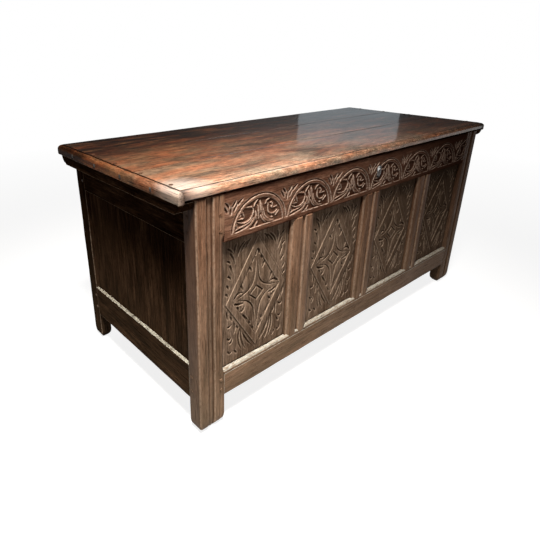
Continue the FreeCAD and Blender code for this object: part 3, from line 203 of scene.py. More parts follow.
def oak(name, along, tones, roughness=(0.36, 0.60), coat=0.0, wear=0.30, bump=0.35, gloss=0.16,
        rubbed_front=0.0, contrast=0.13, mottle=0.0, paler_low=0.0, falloff_shade=0.0, pale=(0.50, 0.37, 0.27)):
    """Old waxed oak. along is the grain's axis; tones run from the dark figure to the rubbed wood."""
    dark, mid, light = tones
    n = Nodes(bpy.data.materials.new(name))
    rng = random.Random(name)
    offset = [rng.uniform(-3, 3) for _ in range(3)]

    def grain(length, scale, detail, rough, distortion=0.0, moved=0.0):
        """Noise drawn out along the grain; moved takes it from other wood."""
        place = n.stretched(along, [o + moved for o in offset], length)
        return n.noise(place, scale, detail, rough, distortion)

    # the wood itself: fibres, streaks, broad figure and grit
    fibre = grain(0.04, 230.0, 4.0, 0.65, 0.1)
    streak = grain(0.09, 62.0, 6.0, 0.68, 0.5)
    figure = grain(0.22, 13.0, 6.0, 0.62, 1.3)
    pores = grain(0.03, 700.0, 2.0, 0.5)
    grit = grain(0.3, 260.0, 3.0, 0.75)
    shade = n.math("ADD", n.math("MULTIPLY", streak, 0.5), n.math("MULTIPLY", figure, 0.5))
    colour = n.ramp(shade, [(0.5 - contrast, dark), (0.50, mid), (0.5 + contrast, light)])
    colour = n.mix(0.85, colour, n.greys(fibre, 0.32, 0.48, 0.68, 1.45), "MULTIPLY")
    colour = n.mix(0.8, colour, n.greys(grit, 0.34, 0.62, 0.66, 1.32), "MULTIPLY")
    # pale patches of wear and dark ones of grime
    cloud = grain(0.45, 5.0, 5.0, 0.65, 0.6, moved=7)
    colour = n.cover(colour, n.greys(cloud, 0.46, 0.0, 0.70, 1.0), wear, scaled(light, 1.35))
    grime = grain(0.3, 8.0, 6.0, 0.7, 0.9, moved=5)
    colour = n.cover(colour, n.greys(grime, 0.36, 1.0, 0.52, 0.0), 0.55, scaled(dark, 0.55))
    if mottle:
        blotch = grain(0.3, 22.0, 8.0, 0.75, 1.2, moved=2)
        colour = n.cover(colour, n.greys(blotch, 0.42, 1.0, 0.56, 0.0), mottle, scaled(dark, 0.8))
    if rubbed_front:
        # painted shade darkens it toward the back; toward the front it is rubbed to warm and then to pale
        # wood, which also carries a painted highlight; it is flecked all over
        y = n.axes()["Y"]
        colour = n.cover(colour, n.span(y, *BACK_SHADE_Y), 0.62, scaled(dark, 0.9))
        rub_and_highlight = n.mix(n.span(y, *PALER_RUB_AND_GLARE_Y), WARM_RUB_AND_GLARE, PALE_RUB_AND_GLARE)
        colour = n.mix(lid_rub_and_glare(n, rubbed_front), colour, rub_and_highlight)
        fleck = grain(0.35, 120.0, 5.0, 0.8)
        colour = n.mix(0.8, colour, n.greys(fleck, 0.38, 0.50, 0.62, 1.45), "MULTIPLY")
        hue = grain(0.4, 20.0, 4.0, 0.6, moved=4)
        colour = n.mix(1.0, colour, n.ramp(hue, [(0.40, REDDER), (0.60, GREYER)]), "MULTIPLY")
        # painted highlight on the rubbed front left corner
        colour = n.cover(colour, n.near(GLARE_CORNER, *CORNER_REACH), 0.50, CORNER_GLARE)
    reach = None
    if paler_low or falloff_shade:
        # paler toward the floor, and painted shade toward the upper right and on the left side of the
        # chest, where the light falls off
        axes = n.axes()
        # paler toward the floor
        colour = n.cover(colour, n.span(axes["Z"], *PALER_LOW_Z), paler_low, LOW_PALE)
        right = n.span(axes["X"], *FALLOFF_SHADE_X)
        left_side_shade = n.span(axes["X"], *LEFT_SIDE_SHADE_X, 0.0, 0.8)
        high = n.span(axes["Z"], *FALLOFF_SHADE_Z, 0.35, 1.0)
        reach = n.math("MULTIPLY", n.math("MAXIMUM", right, left_side_shade), high)
        colour = n.cover(colour, reach, falloff_shade, scaled(dark, 0.45))
    colour = n.cover(colour, n.greys(pores, 0.36, 1.0, 0.44, 0.0), 0.7, scaled(dark, 0.3))
    # worn arrises are pale, and so are the painted highlights laid on them, less so under the painted
    # shade; hollows and joints are dark, as dark wax and as painted shade
    speckle = grain(0.5, 190.0, 3.0, 0.7)
    wear_and_highlight = n.add("ShaderNodeAttribute", attribute_name="wear_and_highlight").outputs["Fac"]
    # the wear colour carries painted highlights on the lit arrises as well
    arris = n.math("MULTIPLY", wear_and_highlight, n.greys(speckle, 0.36, 0.25, 0.58, 1.0), True)
    colour = n.cover(colour, arris, 0.75, pale)
    # the painted shade falls over the pale arrises as well
    if reach is not None:
        colour = n.cover(colour, reach, 0.55 * falloff_shade, scaled(dark, 0.45))
    # hollows darken with dark wax and painted shade, and joints are dark
    dark_hollows_and_shade = n.add("ShaderNodeAttribute", attribute_name="dark_hollows_and_shade").outputs["Fac"]
    colour = n.cover(colour, dark_hollows_and_shade, 0.85, scaled(dark, 0.30))
    rough = n.span(cloud, 0.3, 0.75, roughness[1], roughness[0])
    fine = n.bumped(n.math("ADD", fibre, pores), bump, FINE_BUMP)
    broad = n.math("ADD", grain(0.25, 24.0, 3.0, 0.6), n.math("MULTIPLY", streak, 0.5))
    normal = n.bumped(broad, bump, BROAD_BUMP, fine)
    shader = n.add("ShaderNodeBsdfPrincipled", {"Base Color": colour, "Roughness": rough, "Normal": normal,
                                                "Specular IOR Level": gloss, "Coat Weight": coat,
                                                "Coat Roughness": COAT_ROUGHNESS})
    n.add("ShaderNodeOutputMaterial", {"Surface": shader.outputs[0]})
    return n.owner


def lid_rub_and_glare(n, strength):
    """Where the front of the lid is rubbed pale by hands and by sitting on it, with a painted highlight
    laid in the same place, most of all at its left where the light is strongest.
    """
    axes = n.axes()
    toward = n.span(axes["Y"], *RUB_AND_GLARE_Y)
    edge = n.span(axes["Y"], *EDGE_RUB_Y)
    left = n.span(axes["X"], *RUB_AND_GLARE_X, 0.22, 1.0)
    blotch = n.noise(n.stretched("X", (1.3, 0.2, 0.0), 0.35), 14.0, 8.0, 0.75, 1.0)
    cover = n.math("MULTIPLY", toward, n.greys(blotch, 0.34, 0.15, 0.62, 1.0))
    cover = n.math("ADD", cover, n.math("MULTIPLY", edge, 0.12))
    cover = n.math("MULTIPLY", cover, left)
    speck = n.noise(n.stretched("X", (0.4, 0.1, 0.0), 0.6), 230.0, 3.0, 0.7)
    speck = n.math("MULTIPLY", n.greys(speck, 0.50, 0.0, 0.62, 1.0), edge)
    cover = n.math("ADD", cover, n.math("MULTIPLY", speck, 0.6))
    return n.math("MULTIPLY", cover, strength, True)


def scaled(colour, factor):
    return tuple(min(1.0, c * factor) for c in colour)


def iron(name, roughness=(0.32, 0.70), bump=0.5, metallic=0.85, glint_at=None, specular=0.5):
    """Hand-forged iron, dark and slightly scaly, with a painted highlight round the point it is given."""
    n = Nodes(bpy.data.materials.new(name))
    scale = n.noise(n.place(), 180.0, 6.0, 0.7)
    patch = n.noise(n.place(), 40.0)
    colour = n.ramp(scale, [(0.35, BLACK_IRON), (0.6, GREY_IRON), (0.8, BROWN_IRON)])
    colour = n.mix(n.greys(patch, 0.5, 0.0, 0.75, 0.6), colour, RUSTY_IRON)
    # painted highlight round that point
    if glint_at:
        colour = n.mix(n.near(glint_at, *GLINT_REACH), colour, IRON_GLINT)
    rough = n.span(scale, 0.0, 1.0, *roughness)
    normal = n.bumped(scale, bump, IRON_BUMP)
    shader = n.add("ShaderNodeBsdfPrincipled", {"Base Color": colour, "Roughness": rough, "Normal": normal,
                                                "Metallic": metallic, "Specular IOR Level": specular})
    n.add("ShaderNodeOutputMaterial", {"Surface": shader.outputs[0]})
    return n.owner


# Sizes of the carved faces that the frame's boxes don't give, in millimetres.
PANEL_TONGUE = 7.5
PANEL_THICKNESS = 7.6
LOZENGE_SIDE_MARGIN, LOZENGE_END_MARGIN, LOZENGE_SHIFT = 10.5, 17.5, 5.0
LOZENGE_BAND = 19.0
PETAL_AT, PETAL_TURN, PETAL_HALF, PETAL_HEIGHT = (30.0, 44.0), (0.44, 0.9), (33.0, 14.5), 1.7
LUNETTE_COUNT, LUNETTE_PITCH, LUNETTE_FIRST_MARGIN = 7, 176.0, 18.0
LUNETTE_BASE, LUNETTE_CROWN_MARGIN, LUNETTE_BAND = 13.0, 19.0, 10.0
LUNETTE_SIDE_GAP, LUNETTE_DRAWN_HEIGHT = 2.5, 80.0
RAIL_LEFT, LOCK_X = -573.0, 10.0
KEY_U, KEY_V, KEY_RADIUS, KEY_SLOT, KEY_DROP = LOCK_X - RAIL_LEFT, 64.0, 3.8, 1.9, 11.0
PANEL_STEP, RAIL_STEP = 1.0, 1.15
CURVE_STEPS = 8
HAND_SHAKE = 0.35
PANEL_SEED, RAIL_SEED = 20, 7

# Dark figure, plain wood and rubbed wood of each family.
FRAME_TONES = ((0.100, 0.046, 0.025), (0.205, 0.104, 0.060), (0.320, 0.190, 0.122))
RAIL_TONES = ((0.070, 0.028, 0.017), (0.150, 0.069, 0.042), (0.250, 0.135, 0.088))
PANEL_TONES = ((0.104, 0.064, 0.041), (0.186, 0.124, 0.084), (0.286, 0.202, 0.146))
LID_TONES = ((0.010, 0.004, 0.002), (0.072, 0.025, 0.010), (0.230, 0.090, 0.034))
# The ends are far darker than the front: painted shade for the shaded ends, on wood a little darker than
# the front's.
SHADED_END_TONES = ((0.008, 0.003, 0.0015), (0.034, 0.015, 0.007), (0.088, 0.045, 0.024))
INSIDE_TONES = ((0.110, 0.066, 0.038), (0.230, 0.150, 0.092), (0.330, 0.230, 0.150))


# ---------------------------------------------------------------- carving
def smooth(points):
    """Points along a Catmull-Rom curve through the given ones."""
    p = np.array([points[0]] + list(points) + [points[-1]], float)
    t = np.linspace(0, 1, CURVE_STEPS, endpoint=False)[:, None]
    runs = []
    for a, b, c, d in zip(p[:-3], p[1:-2], p[2:-1], p[3:]):
        runs.append(0.5 * (2 * b + (c - a) * t + (2 * a - 5 * b + 4 * c - d) * t ** 2
                           + (3 * b - a - 3 * c + d) * t ** 3))
    return np.vstack(runs + [p[-1:]])


def taper(share, lead, steepness, least):
    """Breadth along a stroke: 1 about lead of its length, falling to least at both ends."""
    rise = np.where(share < lead, share / lead, (1 - share) / (1 - lead))
    return least + (1 - least) * np.clip(rise * steepness, 0, 1) ** 0.7


class Relief:
    """Height field over one carved face, in millimetres: u across, v up, sunk below the face."""

    def __init__(self, u_lines, v_lines, seed):
        self.u, self.v = np.meshgrid(u_lines, v_lines)
        self.sunk = np.zeros_like(self.u)
        # darkness of the hollows: dark wax and painted shade
        self.dark_hollows_and_shade = np.zeros_like(self.u)
        self.rng = np.random.default_rng(seed)

    def near_stroke(self, points, width):
        """The places near a stroke, how far from it each lies, and at what share of its length."""
        shake = self.rng.normal
        curve = smooth([(a + shake(0, HAND_SHAKE), b + shake(0, HAND_SHAKE)) for a, b in points])
        low, high = curve.min(0) - width, curve.max(0) + width
        near = (self.u >= low[0]) & (self.u <= high[0]) & (self.v >= low[1]) & (self.v <= high[1])
        place = np.stack([self.u[near], self.v[near]], 1)
        best = np.full(len(place), 1e9)
        share = np.zeros(len(place))
        for i, (a, b) in enumerate(zip(curve[:-1], curve[1:])):
            step = b - a
            t = np.clip(((place - a) @ step) / max(float(step @ step), 1e-9), 0, 1)
            distance = np.hypot(*(place - a - t[:, None] * step).T)
            closer = distance < best
            best[closer] = distance[closer]
            share[closer] = (i + t[closer]) / (len(curve) - 1)
        return near, best, share

    def cut(self, points, width, depth, lead=0.5):
        """A gouge cut of hollow section. lead is where along it the cut is widest."""
        near, distance, share = self.near_stroke(points, width)
        fade = taper(share, lead, 1.6, 0.25)
        shape = np.clip(1 - (distance / (width / 2.0 * fade)) ** 2, 0, 1)
        self.sunk[near] += depth * fade * shape ** 0.8
        self.dark_hollows_and_shade[near] = np.maximum(self.dark_hollows_and_shade[near], shape * fade)

    def rib(self, points, width, height):
        """A leaf rib left standing on sunk ground, rounded over and widest at its middle."""
        near, distance, share = self.near_stroke(points, width)
        fade = taper(share, 0.5, 1.8, 0.35)
        shape = np.clip(1 - (distance / (width / 2.0 * fade)) ** 2, 0, 1) ** 0.7
        self.sunk[near] -= np.minimum(height * shape * (0.5 + 0.5 * fade), self.sunk[near])
        self.dark_hollows_and_shade[near] *= 1 - shape

    def stamp(self, shape, depth, dark_hollows_and_shade=0.0):
        """Sinks the face where shape is 1; between 0 and 1 it slopes."""
        shape = np.clip(shape, 0, 1)
        self.sunk = np.maximum(self.sunk, depth * shape)
        self.dark_hollows_and_shade = np.maximum(self.dark_hollows_and_shade, dark_hollows_and_shade * shape)

    def waver(self, cell, amount):
        """Hand-planed unevenness, smooth over cells of that size."""
        rows = (self.v - self.v.min()) / cell
        cols = (self.u - self.u.min()) / cell
        knots = self.rng.uniform(0, 1, (int(rows.max()) + 2, int(cols.max()) + 2))
        r0, c0 = rows.astype(int), cols.astype(int)
        fr, fc = rows - r0, cols - c0
        fr, fc = fr * fr * (3 - 2 * fr), fc * fc * (3 - 2 * fc)
        field = ((knots[r0, c0] * (1 - fc) + knots[r0, c0 + 1] * fc) * (1 - fr)
                 + (knots[r0 + 1, c0] * (1 - fc) + knots[r0 + 1, c0 + 1] * fc) * fr)
        self.sunk = self.sunk + amount * field

    def wear_and_highlight(self):
        """1 on arrises that stand proud of what is round them, where hands and cloths rub, and where a
        painted highlight is laid on them.
        """
        pad = 3
        wide = np.pad(self.sunk, pad, mode="edge")
        total = np.cumsum(np.cumsum(np.pad(wide, ((1, 0), (1, 0))), 0), 1)
        size = 2 * pad + 1
        block = total[size:, size:] - total[:-size, size:]
        mean = (block - total[size:, :-size] + total[:-size, :-size]) / size ** 2
        proud = np.clip((mean - self.sunk - 0.10) / 0.45, 0, 1)
        # most of all on sides that face left and up, toward the light: this part is painted highlight
        deeper_up, deeper_right = np.gradient(self.sunk)
        facing = np.clip((0.45 * deeper_up - 0.85 * deeper_right) / 0.30, 0, 1)
        facing[:, 1:] = np.maximum(facing[:, 1:], facing[:, :-1])
        return proud * (0.28 + 0.72 * facing)


def diamond(u, v, half_u, half_v):
    """Distance in millimetres outside an upright diamond about (0, 0); negative inside."""
    return (np.abs(u) / half_u + np.abs(v) / half_v - 1.0) * half_u * half_v / math.hypot(half_u, half_v)


# Strokes of the panels, in millimetres from the middle of the lozenge. Each is drawn in two
# mirrored copies; the first two lists lie outside the lozenge, above and below its side corners.
SPRAY_ABOVE = [
    [(-94, 144), (-86, 139), (-78, 131)], [(-87, 133), (-77, 118), (-70, 98)],
    [(-67, 151), (-71, 140), (-71, 126)], [(-40, 150), (-56, 136), (-66, 114)],
    [(-32, 148), (-43, 139), (-54, 124)], [(-22, 152), (-31, 144), (-38, 132)],
    [(-96, 113), (-90, 110), (-84, 105)], [(-87, 101), (-82, 91), (-78, 77)],
    [(-94, 75), (-88, 70), (-82, 62)], [(-97, 52), (-93, 46), (-89, 38)],
    [(-100, 30), (-96, 26), (-92, 20)]]
SPRAY_BELOW = [
    [(-96, -20), (-94, -33), (-90, -47)], [(-84, -38), (-81, -45), (-78, -54)],
    [(-95, -64), (-88, -66), (-81, -60)], [(-73, -57), (-71, -74), (-73, -92)],
    [(-95, -95), (-89, -103), (-82, -97)], [(-65, -70), (-62, -76), (-59, -84)],
    [(-58, -88), (-58, -112), (-54, -132), (-47, -150)],
    [(-51, -94), (-48, -116), (-42, -136), (-33, -153)],
    [(-44, -102), (-35, -118), (-26, -133), (-14, -148)], [(-93, -135), (-86, -144), (-79, -140)],
    [(-72, -140), (-67, -147), (-61, -154)], [(-86, -117), (-82, -112), (-78, -104)]]
STAR_ABOVE = [(-66, 2), (-43, 8), (-26, 17), (-14, 29), (-8, 45), (-5, 66), (-3, 92)]
STAR_BELOW = [(-62, -3), (-36, -11), (-20, -24), (-11, -39), (-7, -58), (-4, -80), (-1, -108)]
LEAF_CURLS = [[(-76, 6), (-67, 15), (-56, 17), (-45, 16)], [(-73, -7), (-64, -12), (-54, -15), (-42, -16)]]
CHIPS = [
    [(-13, 99), (-15, 94), (-18, 86)], [(-27, 79), (-22, 72), (-16, 64)], [(-52, 42), (-50, 33), (-44, 22)],
    [(-63, -19), (-60, -24), (-55, -30)], [(-52, -38), (-46, -33), (-41, -24)],
    [(-44, -47), (-37, -58), (-27, -69)], [(-24, -75), (-21, -80), (-17, -85)],
    [(-12, -95), (-9, -101), (-5, -108)], [(-7, 103), (-5, 112), (-1, 121)]]


def carved_panel(width, height, shift, seed):
    """One panel: a lozenge band round a four-pointed star with leaf ends, and sprays in the corners."""
    r = Relief(np.linspace(0, width, int(width / PANEL_STEP) + 1),
               np.linspace(0, height, int(height / PANEL_STEP) + 1), seed)
    cu, cv = width / 2.0 + shift, height / 2.0
    half_u, half_v = width / 2.0 - LOZENGE_SIDE_MARGIN, height / 2.0 - LOZENGE_END_MARGIN
    outside = diamond(r.u - cu, r.v - cv, half_u, half_v)
    # sunk ground outside and inside the band, a groove along each of its edges, and a line down it
    slope, ground = 2.2, 1.9
    r.stamp(outside / slope, ground)
    r.stamp((-outside - LOZENGE_BAND) / slope, ground)
    edge = np.minimum(np.abs(outside - 0.6), np.abs(outside + LOZENGE_BAND + 0.6))
    r.stamp(1 - edge / 1.5, 3.0, dark_hollows_and_shade=0.75)
    r.stamp(1 - np.abs(outside - 7.5) / 1.3, 2.6, dark_hollows_and_shade=0.5)

    def both(points, **kw):
        r.cut([(cu + a, cv + b) for a, b in points], **kw)
        r.cut([(cu - a, cv + b) for a, b in points], **kw)

    # petals swell between the star and the band
    lean, rise = PETAL_TURN
    for side in (-1, 1):
        for up in (-1, 1):
            a = (r.u - cu) * side - PETAL_AT[0]
            b = (r.v - cv) * up - PETAL_AT[1]
            along, across = (a * lean - b * rise) / PETAL_HALF[0], (a * rise + b * lean) / PETAL_HALF[1]
            swell = np.clip(1 - along ** 2 - across ** 2, 0, 1) ** 0.6
            r.sunk -= np.minimum(PETAL_HEIGHT * swell, r.sunk)
    both(STAR_ABOVE, width=5.0, depth=2.6)
    both(STAR_BELOW, width=5.0, depth=2.6)
    for stroke in LEAF_CURLS:
        both(stroke, width=7.0, depth=3.8, lead=0.3)
    for stroke in CHIPS:
        both(stroke, width=7.0, depth=3.2, lead=0.35)
    for stroke in SPRAY_ABOVE + SPRAY_BELOW:
        both(stroke, width=6.2, depth=3.0, lead=0.35)
    # hollow-sided square at the very middle
    middle = diamond(r.u - cu, r.v - cv, 22.0, 19.0)
    r.stamp((1 - np.abs(middle) / 3.2) * 1.4, 5.2, dark_hollows_and_shade=1.0)
    r.waver(23.0, 0.5)
    r.waver(5.0, 0.22)
    return r


# Ribs of one lunette and cuts of one sprig, in millimetres from the lunette's left foot, drawn 80 high.
LUNETTE_RIBS = [
    [(5, 2), (22, 9), (42, 12), (58, 17), (67, 27)], [(16, 0), (44, 4), (62, 12), (72, 25)],
    [(30, -2), (54, 3), (68, 13), (76, 27)], [(18, 26), (34, 19), (52, 20), (64, 30), (68, 44), (60, 54)],
    [(20, 30), (40, 29)], [(22, 38), (33, 47), (41, 31)], [(24, 33), (31, 40)],
    [(41, 54), (52, 53), (63, 50)], [(30, 54), (44, 62), (62, 67)], [(10, 12), (16, 22), (20, 12)],
    [(71, 2), (76, 6), (82, 12)], [(69, 50), (74, 60), (83, 67)], [(75, 40), (77, 28), (77, 16)],
    [(82, 52), (84, 36), (86, 16)], [(89, 62), (90, 48), (90, 32)],
    [(94, 55), (95, 35), (102, 17), (116, 5), (132, 1)], [(99, 42), (105, 22), (120, 8), (136, 4)],
    [(91, 26), (98, 14), (110, 4)], [(105, 50), (111, 58), (121, 61)],
    [(115, 50), (115, 32), (124, 22), (136, 22), (144, 28)],
    [(120, 50), (126, 50), (129, 44), (125, 39), (132, 36), (144, 38)], [(139, 14), (145, 20), (152, 25)],
    [(124, 13), (132, 12)]]
SPRIG_CUTS = [
    [(-9, 52), (-14, 62), (-21, 72)], [(9, 52), (14, 62), (21, 72)], [(0, 46), (0, 56), (1, 66)],
    [(-4, 64), (-9, 71), (-15, 78)], [(5, 64), (10, 71), (16, 78)], [(20, 66), (27, 73), (36, 79)]]


def carved_rail(width, height, feet, seed):
    """Carved face of the top rail: a run of lunettes filled with scrolling leaves, sprigs between them."""
    base, crown = LUNETTE_BASE, height - LUNETTE_CROWN_MARGIN
    v_lines = np.concatenate([np.linspace(0, base - 3, 5)[:-1], np.arange(base - 3, crown + 3, 1.0),
                              np.linspace(crown + 3, height, 6)])
    r = Relief(np.linspace(0, width, int(width / RAIL_STEP) + 1), v_lines, seed)
    ground = np.zeros_like(r.u)
    half, tall, slope = LUNETTE_PITCH / 2.0 - LUNETTE_SIDE_GAP, crown - base, 1.6
    above = np.clip((r.v - base) / slope, 0, 1) * np.clip((crown - r.v) / slope, 0, 1)
    for x in feet:
        a, b = (r.u - x - LUNETTE_PITCH / 2.0) / half, (r.v - base) / tall
        radius = np.hypot(a, b)
        reach = 1.0 / np.maximum(np.hypot(a / half, b / tall) / np.maximum(radius, 1e-6), 1e-6)
        gap = (radius - 1.0) * reach
        ground = np.maximum(ground, np.clip((-gap - LUNETTE_BAND) / slope, 0, 1) * above)
        # the band's outer side slopes up from a groove, broadly at its left and steeply at its right
        outer_slope = np.interp(a, [-0.6, 0.2], [4.6, 1.5])
        groove = np.where(gap > -0.6, 1 - (gap + 0.6) / slope, 1 + (gap + 0.6) / outer_slope)
        r.stamp(groove * (r.v > base), 3.6, dark_hollows_and_shade=0.8)
    r.stamp(ground, 2.4, dark_hollows_and_shade=0.6)

    def put(stroke, x):
        return [(x + a, base + b * tall / LUNETTE_DRAWN_HEIGHT) for a, b in stroke]

    for x in feet:
        for stroke in LUNETTE_RIBS:
            r.rib(put(stroke, x), width=5.4, height=2.3)
        for stroke in SPRIG_CUTS:
            r.cut(put(stroke, x), width=5.6, depth=3.0, lead=0.35)
    r.waver(26.0, 0.45)
    r.waver(5.0, 0.2)
    return r


def relief_object(name, r, x0, z0, face_y, back_y, in_hole=None):
    """Closed mesh whose front is the height field; where in_hole is true a hole goes right through."""
    rows, cols = r.u.shape
    count = rows * cols
    front = np.stack([x0 + r.u * MM, face_y + r.sunk * MM, z0 + r.v * MM], -1).reshape(-1, 3)
    back = front.copy()
    back[:, 1] = back_y
    index = np.arange(count).reshape(rows, cols)
    quads = np.stack([index[:-1, :-1], index[:-1, 1:], index[1:, 1:], index[1:, :-1]], -1)
    if in_hole is None:
        faces = quads.reshape(-1, 4)
    else:
        faces = quads[~in_hole((r.u[:-1, :-1] + r.u[1:, 1:]) / 2.0, (r.v[:-1, :-1] + r.v[1:, 1:]) / 2.0)]
    # edges with a face on one side only get a wall that runs to the back
    edges = np.concatenate([faces[:, [i, (i + 1) % 4]] for i in range(4)])
    key = np.sort(edges, 1)
    key = key[:, 0].astype(np.int64) * count + key[:, 1]
    _, first, times = np.unique(key, return_index=True, return_counts=True)
    rim = edges[first[times == 1]]
    used = np.unique(rim)
    remap = np.full(count, -1)
    remap[used] = count + np.arange(len(used))
    walls = np.stack([rim[:, 1], rim[:, 0], remap[rim[:, 0]], remap[rim[:, 1]]], -1)
    verts = np.vstack([front, back[used]])
    mesh = bpy.data.meshes.new(name)
    mesh.from_pydata(verts.tolist(), [], np.vstack([faces, walls]).tolist())
    # hollows carry dark wax and painted shade
    dark_hollows_and_shade = np.concatenate([r.dark_hollows_and_shade.reshape(-1), np.zeros(len(used))])
    # proud arrises carry wear and a painted highlight
    wear_and_highlight = np.concatenate([r.wear_and_highlight().reshape(-1), np.zeros(len(used))])
    for label, values in (("dark_hollows_and_shade", dark_hollows_and_shade), ("wear_and_highlight", wear_and_highlight)):
        layer = mesh.attributes.new(label, "FLOAT", "POINT")
        layer.data.foreach_set("value", values.astype(np.float32))
    mesh.polygons.foreach_set("use_smooth", [True] * len(faces) + [False] * len(walls))
    shape = bmesh.new()
    shape.from_mesh(mesh)
    loose = [v for v in shape.verts if not v.link_faces]
    bmesh.ops.delete(shape, geom=loose, context="VERTS")
    open_edges = [e for e in shape.edges if e.is_boundary]
    bmesh.ops.triangle_fill(shape, use_beauty=True, edges=open_edges)
    bmesh.ops.recalc_face_normals(shape, faces=shape.faces)
    shape.to_mesh(mesh)
    shape.free()
    piece = bpy.data.objects.new(name, mesh)
    bpy.context.scene.collection.objects.link(piece)
    return piece


# ---------------------------------------------------------------- dress the CAD nodes
# The lid's rubbed front carries a painted highlight as well.
LID_LOOK = dict(tones=LID_TONES, roughness=(0.34, 0.55), coat=0.45, bump=0.22, gloss=0.06,
                rubbed_front=0.85, contrast=0.10, mottle=0.8)
EDGE_LOOK = dict(tones=LID_TONES, roughness=(0.40, 0.60), gloss=0.02, rubbed_front=0.5, contrast=0.10)
# The darkening toward the upper right in these looks is painted shade, where the light falls off.
FRAME_LOOK = dict(tones=FRAME_TONES, gloss=0.04, paler_low=0.45, falloff_shade=0.78)
RAIL_LOOK = dict(tones=RAIL_TONES, gloss=0.0, falloff_shade=0.95, pale=(0.62, 0.47, 0.37))
PANEL_LOOK = dict(tones=PANEL_TONES, gloss=0.0, roughness=(0.42, 0.64), falloff_shade=0.95)
# Ledge tops are pale with dust and a painted highlight where the light falls on them.
LEDGE_LOOK = dict(FRAME_LOOK, pale=(0.53, 0.52, 0.45))
# The ends' dark oak is painted shade on somewhat darker wood.
SHADED_END_LOOK = dict(tones=SHADED_END_TONES, roughness=(0.45, 0.65), wear=0.20, gloss=0.0, paler_low=0.12)
SHADED_END_LEDGE_LOOK = dict(SHADED_END_LOOK, pale=(0.46, 0.44, 0.36))
INSIDE_LOOK = dict(tones=INSIDE_TONES, roughness=(0.62, 0.82), wear=0.15)

# How each family of nodes looks: start of its name, grain axis, look, and whether its edges are aged.
FAMILIES = [
    ("lid_board", "X", LID_LOOK, True),
    ("lid_end_moulding", "Y", EDGE_LOOK, True),
    ("lid_cleat", "Y", SHADED_END_LOOK, True),
    ("bottom_board", "Y", INSIDE_LOOK, False),
    ("pegs", "Z", FRAME_LOOK, False),
    ("end_panel", "Z", SHADED_END_LOOK, False),
    ("end_bottom_rail", "Y", SHADED_END_LEDGE_LOOK, True),
    ("end_", "Y", SHADED_END_LOOK, True),
    ("back_panel", "Z", INSIDE_LOOK, False),
    ("back_stile", "Z", SHADED_END_LOOK, True),
    ("back_muntin", "Z", INSIDE_LOOK, True),
    ("back_", "X", INSIDE_LOOK, True),
    ("front_stile", "Z", FRAME_LOOK, True),
    ("front_muntin", "Z", FRAME_LOOK, True),
    ("front_bottom_rail", "X", LEDGE_LOOK, True)]


def family(node):
    """Grain axis, look, and whether the edges are aged, of a timber; None for other nodes."""
    for start, along, look, is_aged in FAMILIES:
        if node.startswith(start):
            return along, look, is_aged
    return None


# Mouldings run down the posts: distance from the left arris, sunk below the CAD face, worn (wear with a
# painted highlight on the lit arrises), cavity (painted shade in the channels and along the shaded edges).
STILE_MOULDING = [
    (0, 2.6, 0, 0), (1.5, 1.6, 0.5, 0), (3.5, 0.7, 0.5, 0), (6, 0.2, 0.1, 0), (8, 0, 0, 0), (25.5, 0, 0, 0),
    (27, 0.1, 0.3, 0), (28.5, 0.6, 0.2, 0), (29.4, 4.4, 0, 1), (31.5, 2.8, 0, 1), (33.5, 0.6, 0, 0.35),
    (38.5, -0.6, 0.25, 0.1), (42.5, 0, 0, 0.3), (44.2, 1.9, 0, 1), (45.6, 2.4, 0, 0.9),
    (47.2, 0.8, 0.4, 0.1), (48.5, 0, 0.6, 0), (50.0, 0, 0.3, 0), (51.5, 0, 0, 0), (61.5, 0, 0, 0),
    (62.6, 0.8, 0, 0.8), (64, 0.8, 0, 0.9), (66, 0, 0.2, 0), (68, 0, 0, 0), (77, 0, 0, 0.2)]
MUNTIN_MOULDING = [
    (0, 0, 0, 0.3), (2, 0, 0.35, 0), (5, 0, 0.5, 0), (8, 0, 0.1, 0), (11, 0, 0, 0), (34, 0, 0, 0),
    (35.3, 0, 0.2, 0), (36.5, 0.4, 0.2, 0), (37.4, 4.9, 0, 1), (40, 3.2, 0, 1), (44, 1.2, 0, 0.6),
    (48, 2.3, 0, 0.5), (49.4, 1.2, 0.3, 0), (50.5, 0, 0.6, 0), (53, 0, 0.5, 0), (55.5, 0, 0, 0),
    (78, 0, 0, 0), (84, 0, 0, 0.5), (87, 0, 0, 0.8)]

# Ageing of the timbers: breadth of the worn arrises, size of sway and fray, and their waves per metre.
ARRIS, SWAY, FRAY = 1.6 * MM, 0.7 * MM, 0.5 * MM
SWAY_WAVES, FRAY_WAVES = 9.0, 70.0
SWAY_STEP = 0.04
SHORTEST_ARRIS = 0.02
WELD = 2e-5
FLAT, CREASE = math.radians(1.5), math.radians(30)
SHARP, SHARP_IF_MOULDED = math.radians(38), math.radians(80)
MOULDED_DEPTH, SEAT_DEPTH = 8 * MM, 2 * MM

# The feet are worn round below the last of these heights in millimetres, where rows of edges are added.
FOOT_CUTS = (2, 6, 12, 20, 30)
FOOT_WEAR_X, FOOT_WEAR_Y = 0.34, 0.50

# Places that are rubbed or dark on single timbers, and ledge tops pale with dust and a painted highlight.
BOARD_END_X, BOARD_FRONT_Y = 0.6755, -0.27
QUIRK_TOP_Z, QUIRK_Y = 0.6386, (-0.2835, -0.2805)
STRIP_JOINT_X = 0.679
LEDGE_BACK_Y, LEDGE_Z, LEDGE_JOINT_Z, LEDGE_HIGHLIGHT_Z = -0.278, 0.150, 0.1525, 0.1562
LEDGE_CUTS = (0.1560, 0.1568)
END_LEDGE_X, END_LEDGE_DEPTH = 0.638, 1.2 * MM


